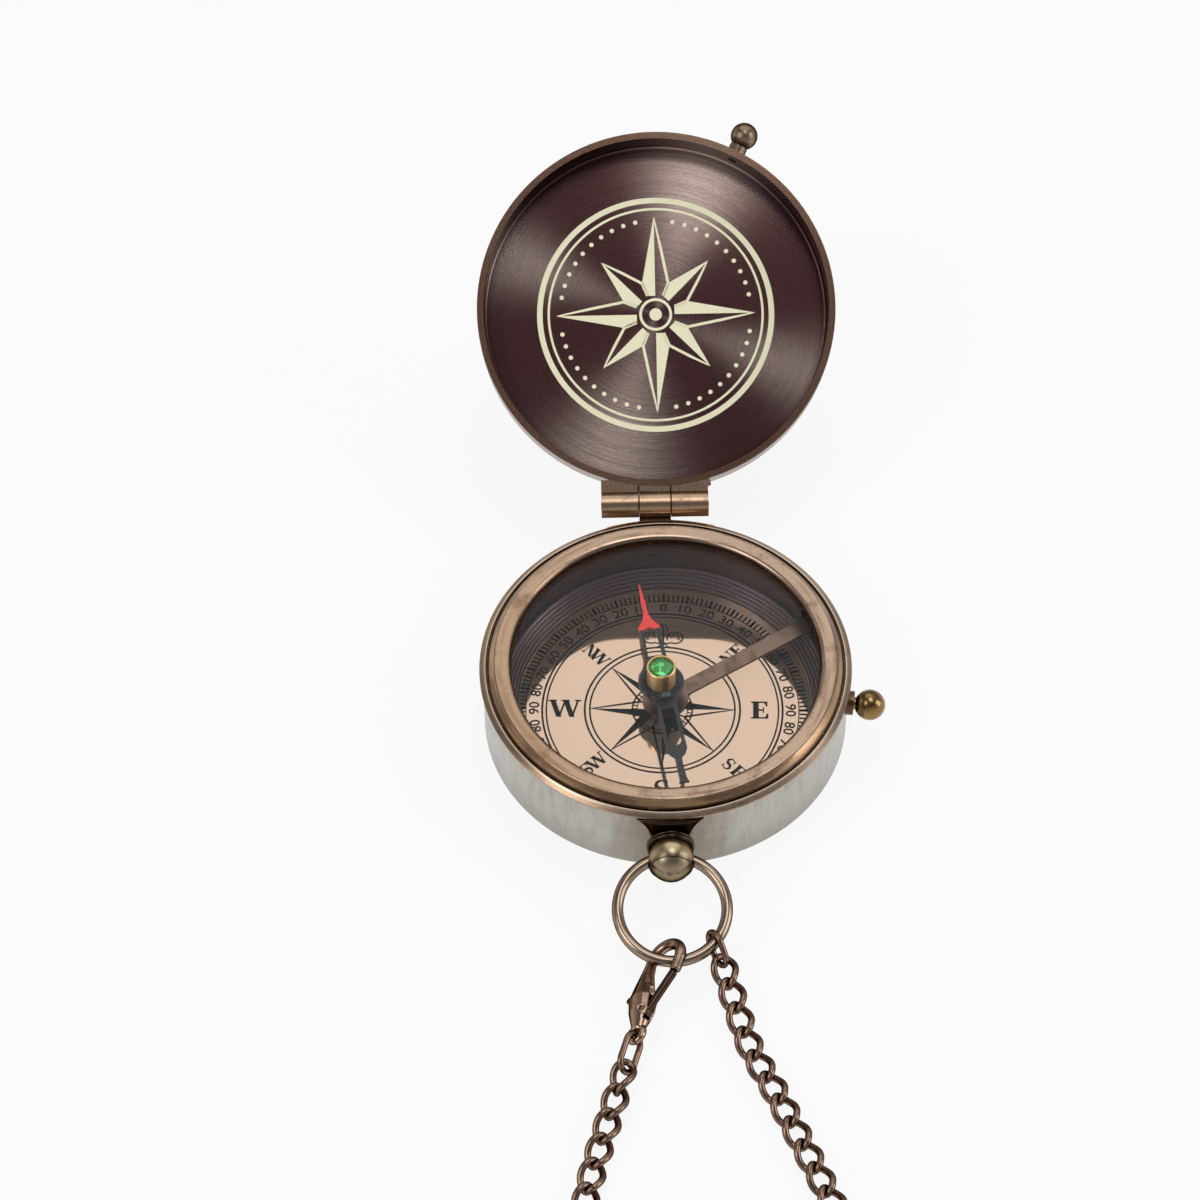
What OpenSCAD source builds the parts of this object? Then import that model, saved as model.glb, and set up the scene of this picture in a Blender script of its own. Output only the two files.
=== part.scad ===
// Pocket compass with a hinged lid, a pendant and bow ring, and a curb chain closed by a lobster clasp.
// Millimetres. Origin at the centre of the base, +Z up, hinge at +Y, pendant at -Y, lock button at +X.

/* [Case] */
// Outer diameter of the case wall
case_d = 53.2; // [52.6:0.1:53.4]
// Thickness of the case wall
case_wall = 0.9; // [0.8:0.05:1]
// Thickness of the case floor
case_floor = 1.4; // [1.2:0.1:1.6]
// Height of the case wall, on which the bezel sits
case_h = 12.2; // [12:0.1:12.6]
// Chamfer round the foot of the case
case_chamfer = 0.5; // [0.3:0.1:0.7]

/* [Bezel and crystal] */
// Outer diameter of the bezel's flange
flange_d = 54; // [53.8:0.1:54.6]
// Thickness of the flange
flange_t = 0.7; // [0.6:0.05:0.8]
// Diameter of the window in the bezel
window_d = 44.6; // [44.2:0.1:45]
// Width of the seat over the crystal's edge
bead_w = 2; // [1.8:0.05:2.1]
// Thickness of the crystal
crystal_t = 0.6; // [0.5:0.05:0.65]

/* [Dial] */
// Height of the dial's face above the base
dial_z = 2.7; // [2.6:0.05:2.8]
// Thickness of the dial plate
dial_t = 0.5; // [0.4:0.05:0.6]
// Diameter of the dial's visible face
dial_face_d = 43.2; // [42.8:0.1:43.6]
// Number of steps turned in the sloping dial ring
ring_steps = 5; // [3:1:7]

/* [Needle] */
// Length of the needle from tip to tip
needle_l = 36.4; // [34:0.2:37]
// Height of the needle's blade above the base
needle_z = 8.1; // [8:0.05:8.2]
// Thickness of the needle's blade
needle_t = 0.35; // [0.3:0.05:0.4]
// Diameter of the gilt cap over the pivot
cap_d = 3.75; // [3.4:0.05:4]
// Bearing of the needle's red end, to the left of the dial's north
needle_bearing = 9; // [0:1:40]
// How far the pivot stands to the left of the case's middle
pivot_off = 0.6; // [0:0.1:0.8]

/* [Needle lock] */
// Width of the lock lever's strip
lever_w = 2.4; // [2:0.1:2.6]
// Diameter of the lever's eye under the needle
eye_d = 6.8; // [6:0.1:7]
// Direction of the lever from the middle, from +X towards +Y
lever_az = 26.6; // [24:0.2:30]
// Direction of the lock button from the middle
button_az = -8.7; // [-10:0.1:-7]
// Diameter of the ball on the lock button
button_d = 4.5; // [4:0.1:4.6]

/* [Lid] */
// How far the lid stands open
lid_open = 148; // [120:1:150]
// Depth of the lid's hollow
lid_depth = 5.5; // [5:0.1:6]
// Width of the lid's rim
lid_wall = 1; // [0.9:0.05:1.1]
// Thickness of the lid's top
lid_top = 0.6; // [0.5:0.05:0.8]
// Diameter of the knob on the lid
lid_knob_d = 4.1; // [3.8:0.1:4.4]
// Direction of the lid's knob when the lid is shut
lid_knob_az = -62.4; // [-64:0.2:-60]

/* [Hinge] */
// Outer diameter of the hinge's barrel
barrel_d = 3.8; // [3.6:0.05:4]
// Length of the hinge's barrel
barrel_l = 16; // [15:0.1:17]
// Length of the middle knuckle
knuckle_l = 4.8; // [4.4:0.1:5.2]
// Diameter of the hinge pin
hinge_pin_d = 1.4; // [1.2:0.05:1.6]

/* [Pendant and bow] */
// Diameter of the pendant's ball
pendant_d = 6.8; // [6.6:0.05:7]
// Height of the pendant's axis above the base
pendant_z = 7.2; // [7:0.1:7.3]
// Thickness of the bow ring's wire
bow_wire = 1.5; // [1.4:0.05:1.6]
// Diameter of the bow ring along the middle of its wire
bow_d = 15.4; // [15.2:0.1:15.8]

/* [Chain] */
// Thickness of the chain's wire
chain_wire = 0.9; // [0.8:0.02:0.94]
// Outer length of a chain link
link_l = 5.8; // [5.6:0.05:6]
// Outer width of a chain link
link_w = 4; // [3.9:0.05:4.2]
// How far the chain lies out from the bow ring
chain_reach = 70; // [66:1:78]
// Twist of each end of a link
link_twist = 47; // [44:1:48]

/* [Clasp] */
// Radius of the hook along the middle of its wire
hook_r = 2.6; // [2.5:0.05:2.7]
// Thickness of the hook's wire
hook_wire = 1.4; // [1.3:0.05:1.5]
// Length from the clasp's eye to the middle of its hook
clasp_l = 12.6; // [12.2:0.1:13]

/* [Hidden] */

// Facets: round gives true curves, soft is for rounded lumps that are hulled
round_fn = 96;
soft_fn = 16;

// Clearances: seat between parts at rest on each other, run between moving parts, cut past a face
seat = 0.02;
run = 0.05;
cut = 1;

// Case
case_r = case_d / 2;
case_in_r = case_r - case_wall;
flange_r = flange_d / 2;

// Bezel: skirt inside the wall, flange on top, raised rim round the window
window_r = window_d / 2;
flange_top = case_h + flange_t;
ledge_r_share = 0.972;
skirt_t = 0.65;
skirt_h = 1.4;
groove_w = 0.25;
groove_h = 0.25;
flange_drop = 0.4;
bead_seat = 0.35;
rim_w = 3.5;
rim_h = 1.2;
// Section of the raised rim round the window: out from its inner edge and up, as shares of its size
rim_share = [
    [0, 0], [0, 0.2], [0.014, 0.36], [0.043, 0.58], [0.09, 0.77], [0.15, 0.9], [0.22, 0.97], [0.32, 1],
    [0.62, 1], [0.69, 0.975], [0.74, 0.9], [0.87, 0.46], [1, 0]
];

// Crystal under the rim, and the spring ring that holds it
crystal_r = window_r + bead_w - bead_seat - run;
crystal_z = flange_top - seat - crystal_t;
retainer_w = 0.9;
retainer_h = 0.4;
retainer_gap = 3;
retainer_z = crystal_z - seat - retainer_h;

// Dial ring: a tube under the crystal that slopes in to the dial by turned steps
tube_in_r = crystal_r - 0.15 * retainer_w;
tube_t = 0.6;
tube_top = retainer_z - seat;
slope_h = 2.1;
foot_h = 2.3;
foot_shoulder = 0.6;
dial_face_r = dial_face_d / 2;
dial_r = case_in_r - 2 * run;
spacer_w = 5;
step_ridge_share = 0.35;
lip_h = 0.25;

// Pivot
post_flange_r = 2.2;
post_r = 1.2;
post_rise = 0.5;
pin_r = 0.42;
pivot_cone_h = 0.8;
pin_seat_depth = 1.2;

// Needle
cap_r = cap_d / 2;
blade_top = needle_z + needle_t;
hub_r = 3.35;
hub_collar_r = 2.9;
hub_shoulder_r = 2.2;
hub_collar_h = 0.3;
cap_top = crystal_z - 0.28;
cap_z = blade_top + hub_collar_h;
cap_bore_r = 0.9;
jewel_wall = 0.27;
jewel_h = 0.55;
jewel_sides = 8;
pin_tip_z = cap_top - jewel_h - 0.3;
// Outline of the blade's right side from its north tip, as shares of half its length: out, along
blade_share = [
    [0.004, 1], [0.011, 0.912], [0.020, 0.808], [0.0165, 0.736], [0.023, 0.681], [0.041, 0.626],
    [0.074, 0.580], [0.089, 0.555], [0.078, 0.516], [0.089, 0.253], [0.096, 0.198], [0.129, 0.140],
    [0.129, -0.140], [0.096, -0.187], [0.082, -0.242], [0.082, -0.593], [0.085, -0.670],
    [0.060, -0.725], [0.027, -0.753], [0.023, -0.813], [0.027, -0.956], [0.041, -1]
];
// Its two openings, between the rails
north_gap_share = [[0.058, 0.264], [0.049, 0.505], [0.030, 0.545], [0, 0.560]];
south_gap_share = [[0.052, -0.269], [0.052, -0.600], [0.034, -0.630], [0, -0.640]];

// Lock lever: pivots by the wall, its eye round the pivot pin, and its arm behind the dial ring
tube_out_r = tube_in_r + tube_t;
lever_t = 0.45;
gap_r = (tube_out_r + case_in_r) / 2;
lever_rise = 4.9;
lever_pivot_z = dial_z + lever_rise;
eye_drop = 3.4;
eye_hole_r = 1.6;
lever_knuckle_r = 0.42;
lever_pin_r = 0.26;
arm_t = 0.6;
arm_h = 0.5;
arm_in_r = gap_r - 0.45;
lever_slope = asin(eye_drop / gap_r);
back_gap = 0.1;
arm_overrun = 2.4;
slot_w = lever_w + 1;
slot_below = 1.5;
slot_above = 1.5;
ear_t = 0.5;
ear_h = 1.3;
back_t = 0.14;
spring_turns = 4;
spring_wire_r = 0.06;
spring_r = lever_pin_r + spring_wire_r + 0.03;
spring_l = 0.7;

// Lock button: its coned nose goes under the lever's arm
button_z = lever_pivot_z + 0.4;
arm_z = button_z + 0.45;
stem_r = 0.9;
nose_tip_r = 0.35;
nose_r = arm_in_r + arm_t + 0.05;
button_r = button_d / 2;
button_travel = 0.55;
collar_out_r = 1.78;
collar_bore_r = 1.48;
collar_l = 0.98;
button_c = case_r + 3.3;

// Hinge: axis behind the flange, level with the rim of the closed lid
lid_gap = 0.05;
hinge_z = flange_top + lid_gap;
hinge_y = flange_r + 2.8;
hinge_x = -0.8;
barrel_r = barrel_d / 2;
hinge_pin_r = hinge_pin_d / 2;
knuckle_gap = 0.05;
leaf_t = 0.8;
leaf_drop = 4;
leaf_arc = 34;
leaf_z_low = case_h - leaf_drop;
tongue_t = 1;
tongue_z = case_h - 1.25;
lid_leaf_h = 2.6;
foot_share = 0.85;
lid_leaf_arc = 32;

// Lid
lid_r = flange_r;
lid_in_r = lid_r - lid_wall;
lid_h = lid_depth + lid_top;
lid_edge = 1.3;
lid_fillet = 0.5;
lid_knob_r = lid_knob_d / 2;
lid_knob_z = 3;
lid_knob_c = lid_r + 3.15;
lid_stem_r = 0.7;
lid_collar_r = 1.35;
lid_collar_l = 1.35;

// Pendant
pendant_r = pendant_d / 2;
pendant_y = -(case_r + 3.7);
flare_r = 4.8;
flare_l = 1.5;
flare_lip = 0.3;
// Profile of the flare: out from the collar's radius, along from its lip, as shares
flare_share = [[1, 0], [0.94, 0.12], [0.62, 0.3], [0.32, 0.55], [0.1, 0.8], [0, 1]];
collar_r = pendant_r + 0.05;
collar_w = 1;
collar_y = -(case_r + 1);
ball_flat_y = collar_y - collar_w;
split_y = pendant_y - 1.65;
split_w = 0.12;
stud_r = 0.75;
stud_in = 0.95;
nut_r = 1.35;
bow_bore_r = 1.25;

// Bow ring: the wire runs through the ball's cross bore, and the ring leans down on to the clasp
bow_wire_r = bow_wire / 2;
bow_r = bow_d / 2;
bore_half = sqrt(pendant_r * pendant_r - bow_bore_r * bow_bore_r);
bow_mouth = sqrt(bow_r * bow_r - bore_half * bore_half);
bow_drop = (bow_mouth + bow_r) / 2;
bow_low_z = 3.3;
bow_tilt = asin((pendant_z - bow_low_z) / (bow_drop + bow_r));

// Chain
chain_r = chain_wire / 2;
link_a = link_l / 2 - chain_r;
link_b = link_w / 2 - chain_r;
link_slack = 0.08;
pitch_max = 2 * (link_a - chain_r) - link_slack;
chain_z = 1.2;
link_steps = 14;
link_sides = 6;
first_roll = 17;
last_roll = -29.5;
ring_link_at = 49.4;
ring_link_az = -66;
ring_link_dip = 35;
ring_link_roll = 77;
ring_link_in = 0.267;
clasp_link_l = 6.6;
clasp_link_az = -108.5;
clasp_link_dip = 6.7;
clasp_link_roll = 122;
// Places that the chain passes, from under the bow's lowest point, as shares of the chain's reach
route_shares = [
    [0.121, -0.090], [0.146, -0.182], [0.192, -0.288], [0.235, -0.394], [0.278, -0.502],
    [0.318, -0.620], [0.330, -0.745], [0.285, -0.870], [0.185, -0.960], [0.055, -0.985],
    [-0.070, -0.935], [-0.155, -0.830], [-0.195, -0.705], [-0.192, -0.580], [-0.172, -0.470],
    [-0.144, -0.374]
];
// Height of the first and the last of them, where the chain comes down from the bow and the clasp
first_z = 1.7;
last_z = 1.5;
route_samples = 12;
// Shares of the links in each length of the chain
part_shares = [0, 0.26, 0.44, 0.62, 0.8, 1];

// Clasp: x runs from its eye to its hook, y to its left, before it is laid down
hook_side = -0.4;
hook_start = 100;
hook_sweep = 190;
clasp_roll = 40;
clasp_rise = 1.3;
clasp_az = 71;
clasp_ring_at = -8.7;
clasp_ring_back = 0.27;
clasp_eye_mean = 1.15;
clasp_eye_wire = 0.42;
hook_limb = 2.2;
gate_pivot_x = 3.7;
gate_pivot_y = -0.35;
gate_r = 0.6;
gate_hub_r = 0.65;
gate_gap = 0.35;
gate_t = 1.25;
tab_at = [5.8, 3.23];
tab_arm_w = 0.65;
gate_slot = 1.45;
clasp_pin_r = 0.4;
clasp_pin_l = 2.3;
tab_r = 0.55;
clasp_spring_r = 0.42;
clasp_spring_wire = 0.09;
// Lumps of the clasp's back: place along, place across, radius, as shares of the clasp's length
back_shares = [
    [0.105, 0.010, 0.080], [0.300, 0.045, 0.150], [0.440, 0.085, 0.165], [0.620, 0.135, 0.115],
    [0.800, 0.165, 0.075], [0.964, 0.171, 0.0556]
];
// How flat they are across the clasp's plane
back_flat = 0.8;
spring_x = 2.93;
slot_from = 2.35;
slot_to = 6.95;
slot_back_y = 1.3;
slot_back_from = 3.6;
slot_gate_to = 8;
slot_gate_y = 0.35;

function unit(v) = v / norm(v);
function polar(r, a, z) = [r * cos(a), r * sin(a), z];

// A point on the middle of the bow's wire, at an angle from its lowest point towards +X
function bow_at(a) =
    let (d = bow_drop + bow_r * cos(a))
    [bow_r * sin(a), pendant_y - d * cos(bow_tilt), pendant_z - d * sin(bow_tilt)];

// Heading of a thing that lies along a direction and dips below the level
function heading(az, dip) = [cos(az) * cos(dip), sin(az) * cos(dip), -sin(dip)];

// The wire of a twisted link: an oval whose plane turns from -twist at one end to +twist at the other
function link_point(t, a, b, twist) =
    let (turn = twist * cos(t))
    [a * cos(t), b * sin(t) * cos(turn), b * sin(t) * sin(turn)];

// Points of a tube round a closed wire, one ring of sides after another
function link_tube(a, b, twist, r, steps, sides) = [
    for (i = [0 : steps - 1])
        let (
            t = 360 * i / steps,
            p = link_point(t, a, b, twist),
            along = unit(link_point(t + 1, a, b, twist) - link_point(t - 1, a, b, twist)),
            out = unit(p - (p * along) * along),
            side = cross(along, out)
        )
        for (j = [0 : sides - 1])
            let (q = 360 * j / sides)
            p + r * cos(q) * out + r * sin(q) * side
];

// Faces of a closed tube of rings
function loop_faces(steps, sides) = [
    for (i = [0 : steps - 1], j = [0 : sides - 1], half = [0, 1])
        let (
            n = (i + 1) % steps,
            k = (j + 1) % sides,
            a = i * sides + j,
            b = i * sides + k,
            c = n * sides + k,
            d = n * sides + j
        )
        half == 0 ? [a, b, c] : [a, c, d]
];

// A smooth curve through points, sampled evenly between each two
function curve_point(p, i, t) =
    let (
        n = len(p) - 1,
        a = p[max(i - 1, 0)],
        b = p[i],
        c = p[min(i + 1, n)],
        d = p[min(i + 2, n)]
    )
    (2 * b + (c - a) * t + (2 * a - 5 * b + 4 * c - d) * t * t + (3 * b - a - 3 * c + d) * t * t * t) / 2;
function curve_points(p, samples) = [
    for (i = [0 : len(p) - 2], s = [0 : samples - 1]) curve_point(p, i, s / samples),
    p[len(p) - 1]
];

// Length along a row of points up to each of them
function lengths(p, i = 0, sum = 0, out = []) =
    i == len(p) ? out
    : let (next = i == 0 ? 0 : sum + norm(p[i] - p[i - 1]))
      lengths(p, i + 1, next, concat(out, [next]));
function rows_below(table, s) = len([for (v = table) if (v <= s) v]);
function point_at(p, table, s) =
    let (i = min(max(rows_below(table, s) - 1, 0), len(p) - 2), t = (s - table[i]) / (table[i + 1] - table[i]))
    p[i] + (p[i + 1] - p[i]) * t;

// Where the link on the bow, the clasp and its own link lie
ring_link_dir = heading(ring_link_az, ring_link_dip);
ring_link_c = bow_at(ring_link_at) + ring_link_dir * (link_a - chain_r - bow_wire_r - ring_link_in);
ring_link_end = ring_link_c + ring_link_dir * (link_a - chain_r);
clasp_dir = heading(clasp_az, -clasp_rise);
clasp_left = [-sin(clasp_az) * cos(clasp_roll), cos(clasp_az) * cos(clasp_roll), 0]
    - cross([-sin(clasp_az), cos(clasp_az), 0], clasp_dir) * -sin(clasp_roll);
clasp_eye = bow_at(clasp_ring_at) - clasp_dir * (clasp_l - clasp_ring_back) - clasp_left * hook_side;
clasp_link_dir = heading(clasp_link_az, clasp_link_dip);
clasp_link_a = clasp_link_l / 2 - chain_r;
clasp_link_c = clasp_eye + clasp_link_dir * clasp_link_a;
clasp_link_end = clasp_link_c + clasp_link_dir * (clasp_link_a - chain_r);

// The chain's route, and how many links fill it
bow_foot = bow_at(0);
function route_z(i) = i == 0 ? first_z : i == len(route_shares) - 1 ? last_z : chain_z;
route = concat(
    [ring_link_end],
    [for (i = [0 : len(route_shares) - 1])
        [route_shares[i][0] * chain_reach, bow_foot[1] + route_shares[i][1] * chain_reach, route_z(i)]],
    [clasp_link_end]
);
route_points = curve_points(route, route_samples);
route_table = lengths(route_points);
route_l = route_table[len(route_table) - 1];
link_count = ceil((route_l + 2 * chain_r) / pitch_max);
pitch = (route_l + 2 * chain_r) / link_count;

// Revolves a half section drawn in x and y round the Z axis
module turned() {
    rotate_extrude($fn = round_fn) children();
}

module tube(r_out, r_in, z_low, z_high) {
    turned() translate([r_in, z_low]) square([r_out - r_in, z_high - z_low]);
}

// Places a child drawn along +X from the middle at a direction and a height
module at_wall(az, z) {
    translate([0, 0, z]) rotate([0, 0, az]) children();
}

// A round bar along +X from one radius to another
module bar_x(r, x_low, x_high) {
    translate([x_low, 0, 0]) rotate([0, 90, 0]) cylinder(r = r, h = x_high - x_low, $fn = round_fn);
}

// A knob turned about the X axis: a ball with its stem
module ball_x(r, x) {
    translate([x, 0, 0]) rotate([0, 90, 0]) sphere(r = r, $fn = round_fn);
}

// A spring or a coil of wire along the Z axis
module coil(mean_r, wire_r, turns, length) {
    steps = 10;
    sides = 6;
    count = steps * turns;
    rings = [
        for (i = [0 : count])
            let (a = 360 * i / steps, c = [mean_r * cos(a), mean_r * sin(a), length * i / count])
            for (j = [0 : sides - 1])
                let (q = 360 * j / sides)
                c + wire_r * cos(q) * [cos(a), sin(a), 0] + [0, 0, wire_r * sin(q)]
    ];
    walls = [
        for (i = [0 : count - 1], j = [0 : sides - 1], half = [0, 1])
            let (
                k = (j + 1) % sides,
                a = i * sides + j,
                b = i * sides + k,
                c = (i + 1) * sides + k,
                d = (i + 1) * sides + j
            )
            half == 0 ? [a, c, b] : [a, d, c]
    ];
    start = [for (j = [1 : sides - 2]) [0, j, j + 1]];
    finish = [for (j = [1 : sides - 2]) [count * sides, count * sides + j + 1, count * sides + j]];
    polyhedron(points = rings, faces = concat(walls, start, finish), convexity = 10);
}

// The case: a turned cup with holes for the lock button and the pendant's stud
module case_body() {
    color([0.62, 0.60, 0.56])
    difference() {
        turned() polygon([
            [0, 0], [case_r - case_chamfer, 0], [case_r, case_chamfer], [case_r, case_h],
            [case_in_r, case_h], [case_in_r, case_floor], [0, case_floor]
        ]);
        at_wall(button_az, button_z) bar_x(stem_r + run, case_in_r - cut, case_r + cut);
        at_wall(-90, pendant_z) bar_x(stud_r + run, case_in_r - cut, case_r + cut);
    }
}

module dial_spacer() {
    color([0.55, 0.45, 0.30])
    tube(dial_r, dial_r - spacer_w, case_floor + seat, dial_z - dial_t - seat);
}

module at_pivot() {
    translate([-pivot_off, 0, 0]) children();
}

module dial_plate() {
    color([0.87, 0.72, 0.58])
    difference() {
        tube(dial_r, 0, dial_z - dial_t, dial_z);
        at_pivot() cylinder(r = post_r + run, h = case_h, $fn = round_fn);
    }
}

// The dark ring round the dial: plain tube above, turned steps below, foot on the dial's rim
module dial_ring() {
    rise = slope_h / ring_steps;
    tread = (tube_in_r - dial_face_r) / ring_steps;
    base = dial_z + lip_h;
    steps = [
        for (i = [0 : ring_steps - 1], k = [0 : 2])
            let (r = dial_face_r + i * tread, z = base + i * rise)
            k == 0 ? [r + tread * step_ridge_share, z]
            : k == 1 ? [r + tread * (1 - step_ridge_share), z + rise * step_ridge_share]
            : [r + tread, z + rise]
    ];
    color([0.22, 0.18, 0.17])
    difference() {
        turned() polygon(concat(
            [[dial_face_r, dial_z + seat], [dial_face_r, base]],
            steps,
            [
                [tube_in_r, tube_top], [tube_out_r, tube_top], [tube_out_r, dial_z + foot_h + foot_shoulder],
                [dial_r, dial_z + foot_h], [dial_r, dial_z + seat]
            ]
        ));
        at_wall(lever_az, lever_pivot_z)
            translate([tube_in_r - cut, -slot_w / 2, -slot_below])
            cube([tube_t + 2 * cut, slot_w, slot_below + slot_above]);
    }
}

// Split ring of flat wire that holds the crystal up against the rim
module crystal_retainer() {
    color([0.45, 0.38, 0.28])
    difference() {
        tube(crystal_r - run, crystal_r - retainer_w, retainer_z, retainer_z + retainer_h);
        at_wall(90, retainer_z)
            translate([0, -retainer_gap / 2, -cut]) cube([case_r, retainer_gap, retainer_h + 2 * cut]);
    }
}

module crystal() {
    color([0.85, 0.92, 0.95, 0.35])
    turned() translate([0, crystal_z]) square([crystal_r, crystal_t]);
}

// Bezel: skirt, flange with its outer slope, a fine groove, and the raised rim
module bezel() {
    ledge_r = flange_r * ledge_r_share;
    groove_r = window_r + rim_w;
    color([0.60, 0.50, 0.38])
    turned() difference() {
        polygon(concat(
            [
                [crystal_r + run, case_h - skirt_h], [case_in_r - run, case_h - skirt_h],
                [case_in_r - run, case_h + seat], [flange_r, case_h + seat],
                [flange_r, flange_top - flange_drop], [ledge_r, flange_top]
            ],
            [for (i = [len(rim_share) - 1 : -1 : 0])
                [window_r + rim_share[i][0] * rim_w, flange_top + rim_share[i][1] * rim_h]],
            [[crystal_r + run, flange_top]]
        ));
        translate([crystal_r + run - cut, case_h - skirt_h - cut])
            square([case_in_r - run - skirt_t - crystal_r - run + cut, cut + skirt_h - seat]);
        translate([groove_r, flange_top - groove_h]) square([groove_w, groove_h + cut]);
    }
}

// Pivot: a flanged post held under the dial, and the steel pin that carries the needle
module pivot_post() {
    color([0.70, 0.55, 0.30])
    at_pivot() difference() {
        union() {
            tube(post_flange_r, 0, case_floor + seat, dial_z - dial_t - seat);
            tube(post_r, 0, case_floor + seat, dial_z + post_rise);
        }
        translate([0, 0, dial_z + post_rise - pin_seat_depth])
            cylinder(r = pin_r + seat, h = pin_seat_depth + cut, $fn = round_fn);
    }
}

module pivot_pin() {
    low = dial_z + post_rise - pin_seat_depth;
    color([0.75, 0.75, 0.78])
    at_pivot() turned() polygon([
        [0, low], [pin_r, low], [pin_r, pin_tip_z - pivot_cone_h], [0, pin_tip_z]
    ]);
}

module needle_turn() {
    at_pivot() rotate([0, 0, needle_bearing]) children();
}

// A flat shape mirrored from the table of its right side
module mirrored_share(table, scale_l) {
    n = len(table);
    polygon(concat(
        [for (p = table) p * scale_l],
        [for (i = [n - 1 : -1 : 0]) if (table[i][0] > 0) [-table[i][0], table[i][1]] * scale_l]
    ));
}

// Openwork blade: hub disc, two rails to the red arrow, two rails to a lobe and a flat tail
module needle_blade() {
    half = needle_l / 2;
    color([0.12, 0.13, 0.15])
    needle_turn() translate([0, 0, needle_z]) difference() {
        union() {
            cylinder(r = hub_r, h = needle_t, $fn = round_fn);
            linear_extrude(height = needle_t) mirrored_share(blade_share, half);
        }
        translate([0, 0, -cut]) cylinder(r = cap_bore_r, h = needle_t + 2 * cut, $fn = round_fn);
        for (gap = [north_gap_share, south_gap_share])
            translate([0, 0, -cut]) linear_extrude(height = needle_t + 2 * cut) mirrored_share(gap, half);
    }
}

module needle_hub() {
    color([0.12, 0.13, 0.15])
    needle_turn() turned() polygon([
        [cap_bore_r, blade_top + seat / 2], [hub_collar_r, blade_top + seat / 2],
        [hub_shoulder_r, cap_z - seat / 2], [cap_bore_r, cap_z - seat / 2]
    ]);
}

// Gilt cap: a cup over the pivot's point, with the stone's seat on top
module needle_cap() {
    color([0.85, 0.65, 0.25])
    at_pivot() turned() polygon([
        [cap_bore_r, cap_z], [cap_r, cap_z], [cap_r, cap_top], [cap_r - jewel_wall, cap_top],
        [cap_r - jewel_wall, cap_top - jewel_h], [0, cap_top - jewel_h],
        [0, pin_tip_z + run], [cap_bore_r, pin_tip_z + run - cap_bore_r]
    ]);
}

module needle_jewel() {
    r = cap_r - jewel_wall - seat;
    color([0.05, 0.65, 0.25])
    at_pivot() translate([0, 0, cap_top - jewel_h + seat]) {
        cylinder(r = r, h = jewel_h * 0.6, $fn = round_fn);
        translate([0, 0, jewel_h * 0.6]) cylinder(r1 = r, r2 = r * 0.55, h = jewel_h * 0.5, $fn = jewel_sides);
    }
}

// The lever drawn level along +X with its pivot at the origin, then dipped to its resting slope
module lever_frame() {
    at_wall(lever_az, lever_pivot_z) translate([gap_r, 0, 0]) children();
}

module lock_lever() {
    eye_x = -gap_r / cos(lever_slope);
    arm_from = lever_az - arm_overrun;
    arm_to = button_az - arm_overrun;
    color([0.42, 0.34, 0.26])
    union() {
        lever_frame() rotate([0, -lever_slope, 0]) difference() {
            union() {
                translate([eye_x, -lever_w / 2, -lever_t / 2]) cube([-eye_x, lever_w, lever_t]);
                translate([eye_x, 0, -lever_t / 2]) cylinder(r = eye_d / 2, h = lever_t, $fn = round_fn);
                rotate([90, 0, 0]) translate([0, 0, -lever_w / 2])
                    cylinder(r = lever_knuckle_r, h = lever_w, $fn = round_fn);
            }
            translate([eye_x, 0, -lever_t]) cylinder(r = eye_hole_r, h = 2 * lever_t, $fn = round_fn);
            rotate([90, 0, 0]) translate([0, 0, -lever_w])
                cylinder(r = lever_pin_r + run, h = 2 * lever_w, $fn = round_fn);
        }
        // Post at the root that carries the arm over the bracket's ear
        rotate([0, 0, lever_az - arm_overrun])
            rotate_extrude(angle = arm_overrun * 1.6, $fn = round_fn)
            translate([arm_in_r + run, lever_pivot_z + lever_pin_r + 2 * run])
            square([arm_t - 2 * run, arm_z + arm_h / 2 - lever_pivot_z - lever_pin_r - 2 * run]);
        rotate([0, 0, arm_to])
            rotate_extrude(angle = arm_from - arm_to + arm_overrun, $fn = round_fn)
            translate([arm_in_r, arm_z]) square([arm_t, arm_h]);
    }
}

// Bracket: two ears on a thin back against the case wall
module lever_bracket() {
    ear_in = lever_w / 2 + 2 * run;
    back_x = case_in_r - back_gap - back_t - gap_r;
    color([0.50, 0.42, 0.32])
    lever_frame() difference() {
        union() {
            for (s = [-1, 1]) translate([-lever_knuckle_r, s > 0 ? ear_in : -ear_in - ear_t, -ear_h / 2])
                cube([back_x + back_t + lever_knuckle_r, ear_t, ear_h]);
            translate([back_x, -ear_in - ear_t, -ear_h / 2]) cube([back_t, 2 * (ear_in + ear_t), ear_h]);
        }
        rotate([90, 0, 0]) translate([0, 0, -ear_in - ear_t - cut])
            cylinder(r = lever_pin_r + seat, h = 2 * (ear_in + ear_t + cut), $fn = round_fn);
    }
}

module lever_pin() {
    reach = lever_w / 2 + 2 * run + ear_t;
    color([0.75, 0.75, 0.78])
    lever_frame() rotate([90, 0, 0]) translate([0, 0, -reach - spring_l - 2 * run])
        cylinder(r = lever_pin_r, h = 2 * reach + spring_l + 3 * run, $fn = round_fn);
}

// Return spring, wound on the pin outside the bracket's far ear
module lever_spring() {
    reach = lever_w / 2 + 2 * run + ear_t;
    color([0.70, 0.70, 0.74])
    lever_frame() rotate([-90, 0, 0]) translate([0, 0, reach + spring_wire_r + run])
        coil(spring_r, spring_wire_r, spring_turns, spring_l - 2 * spring_wire_r);
}

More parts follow.
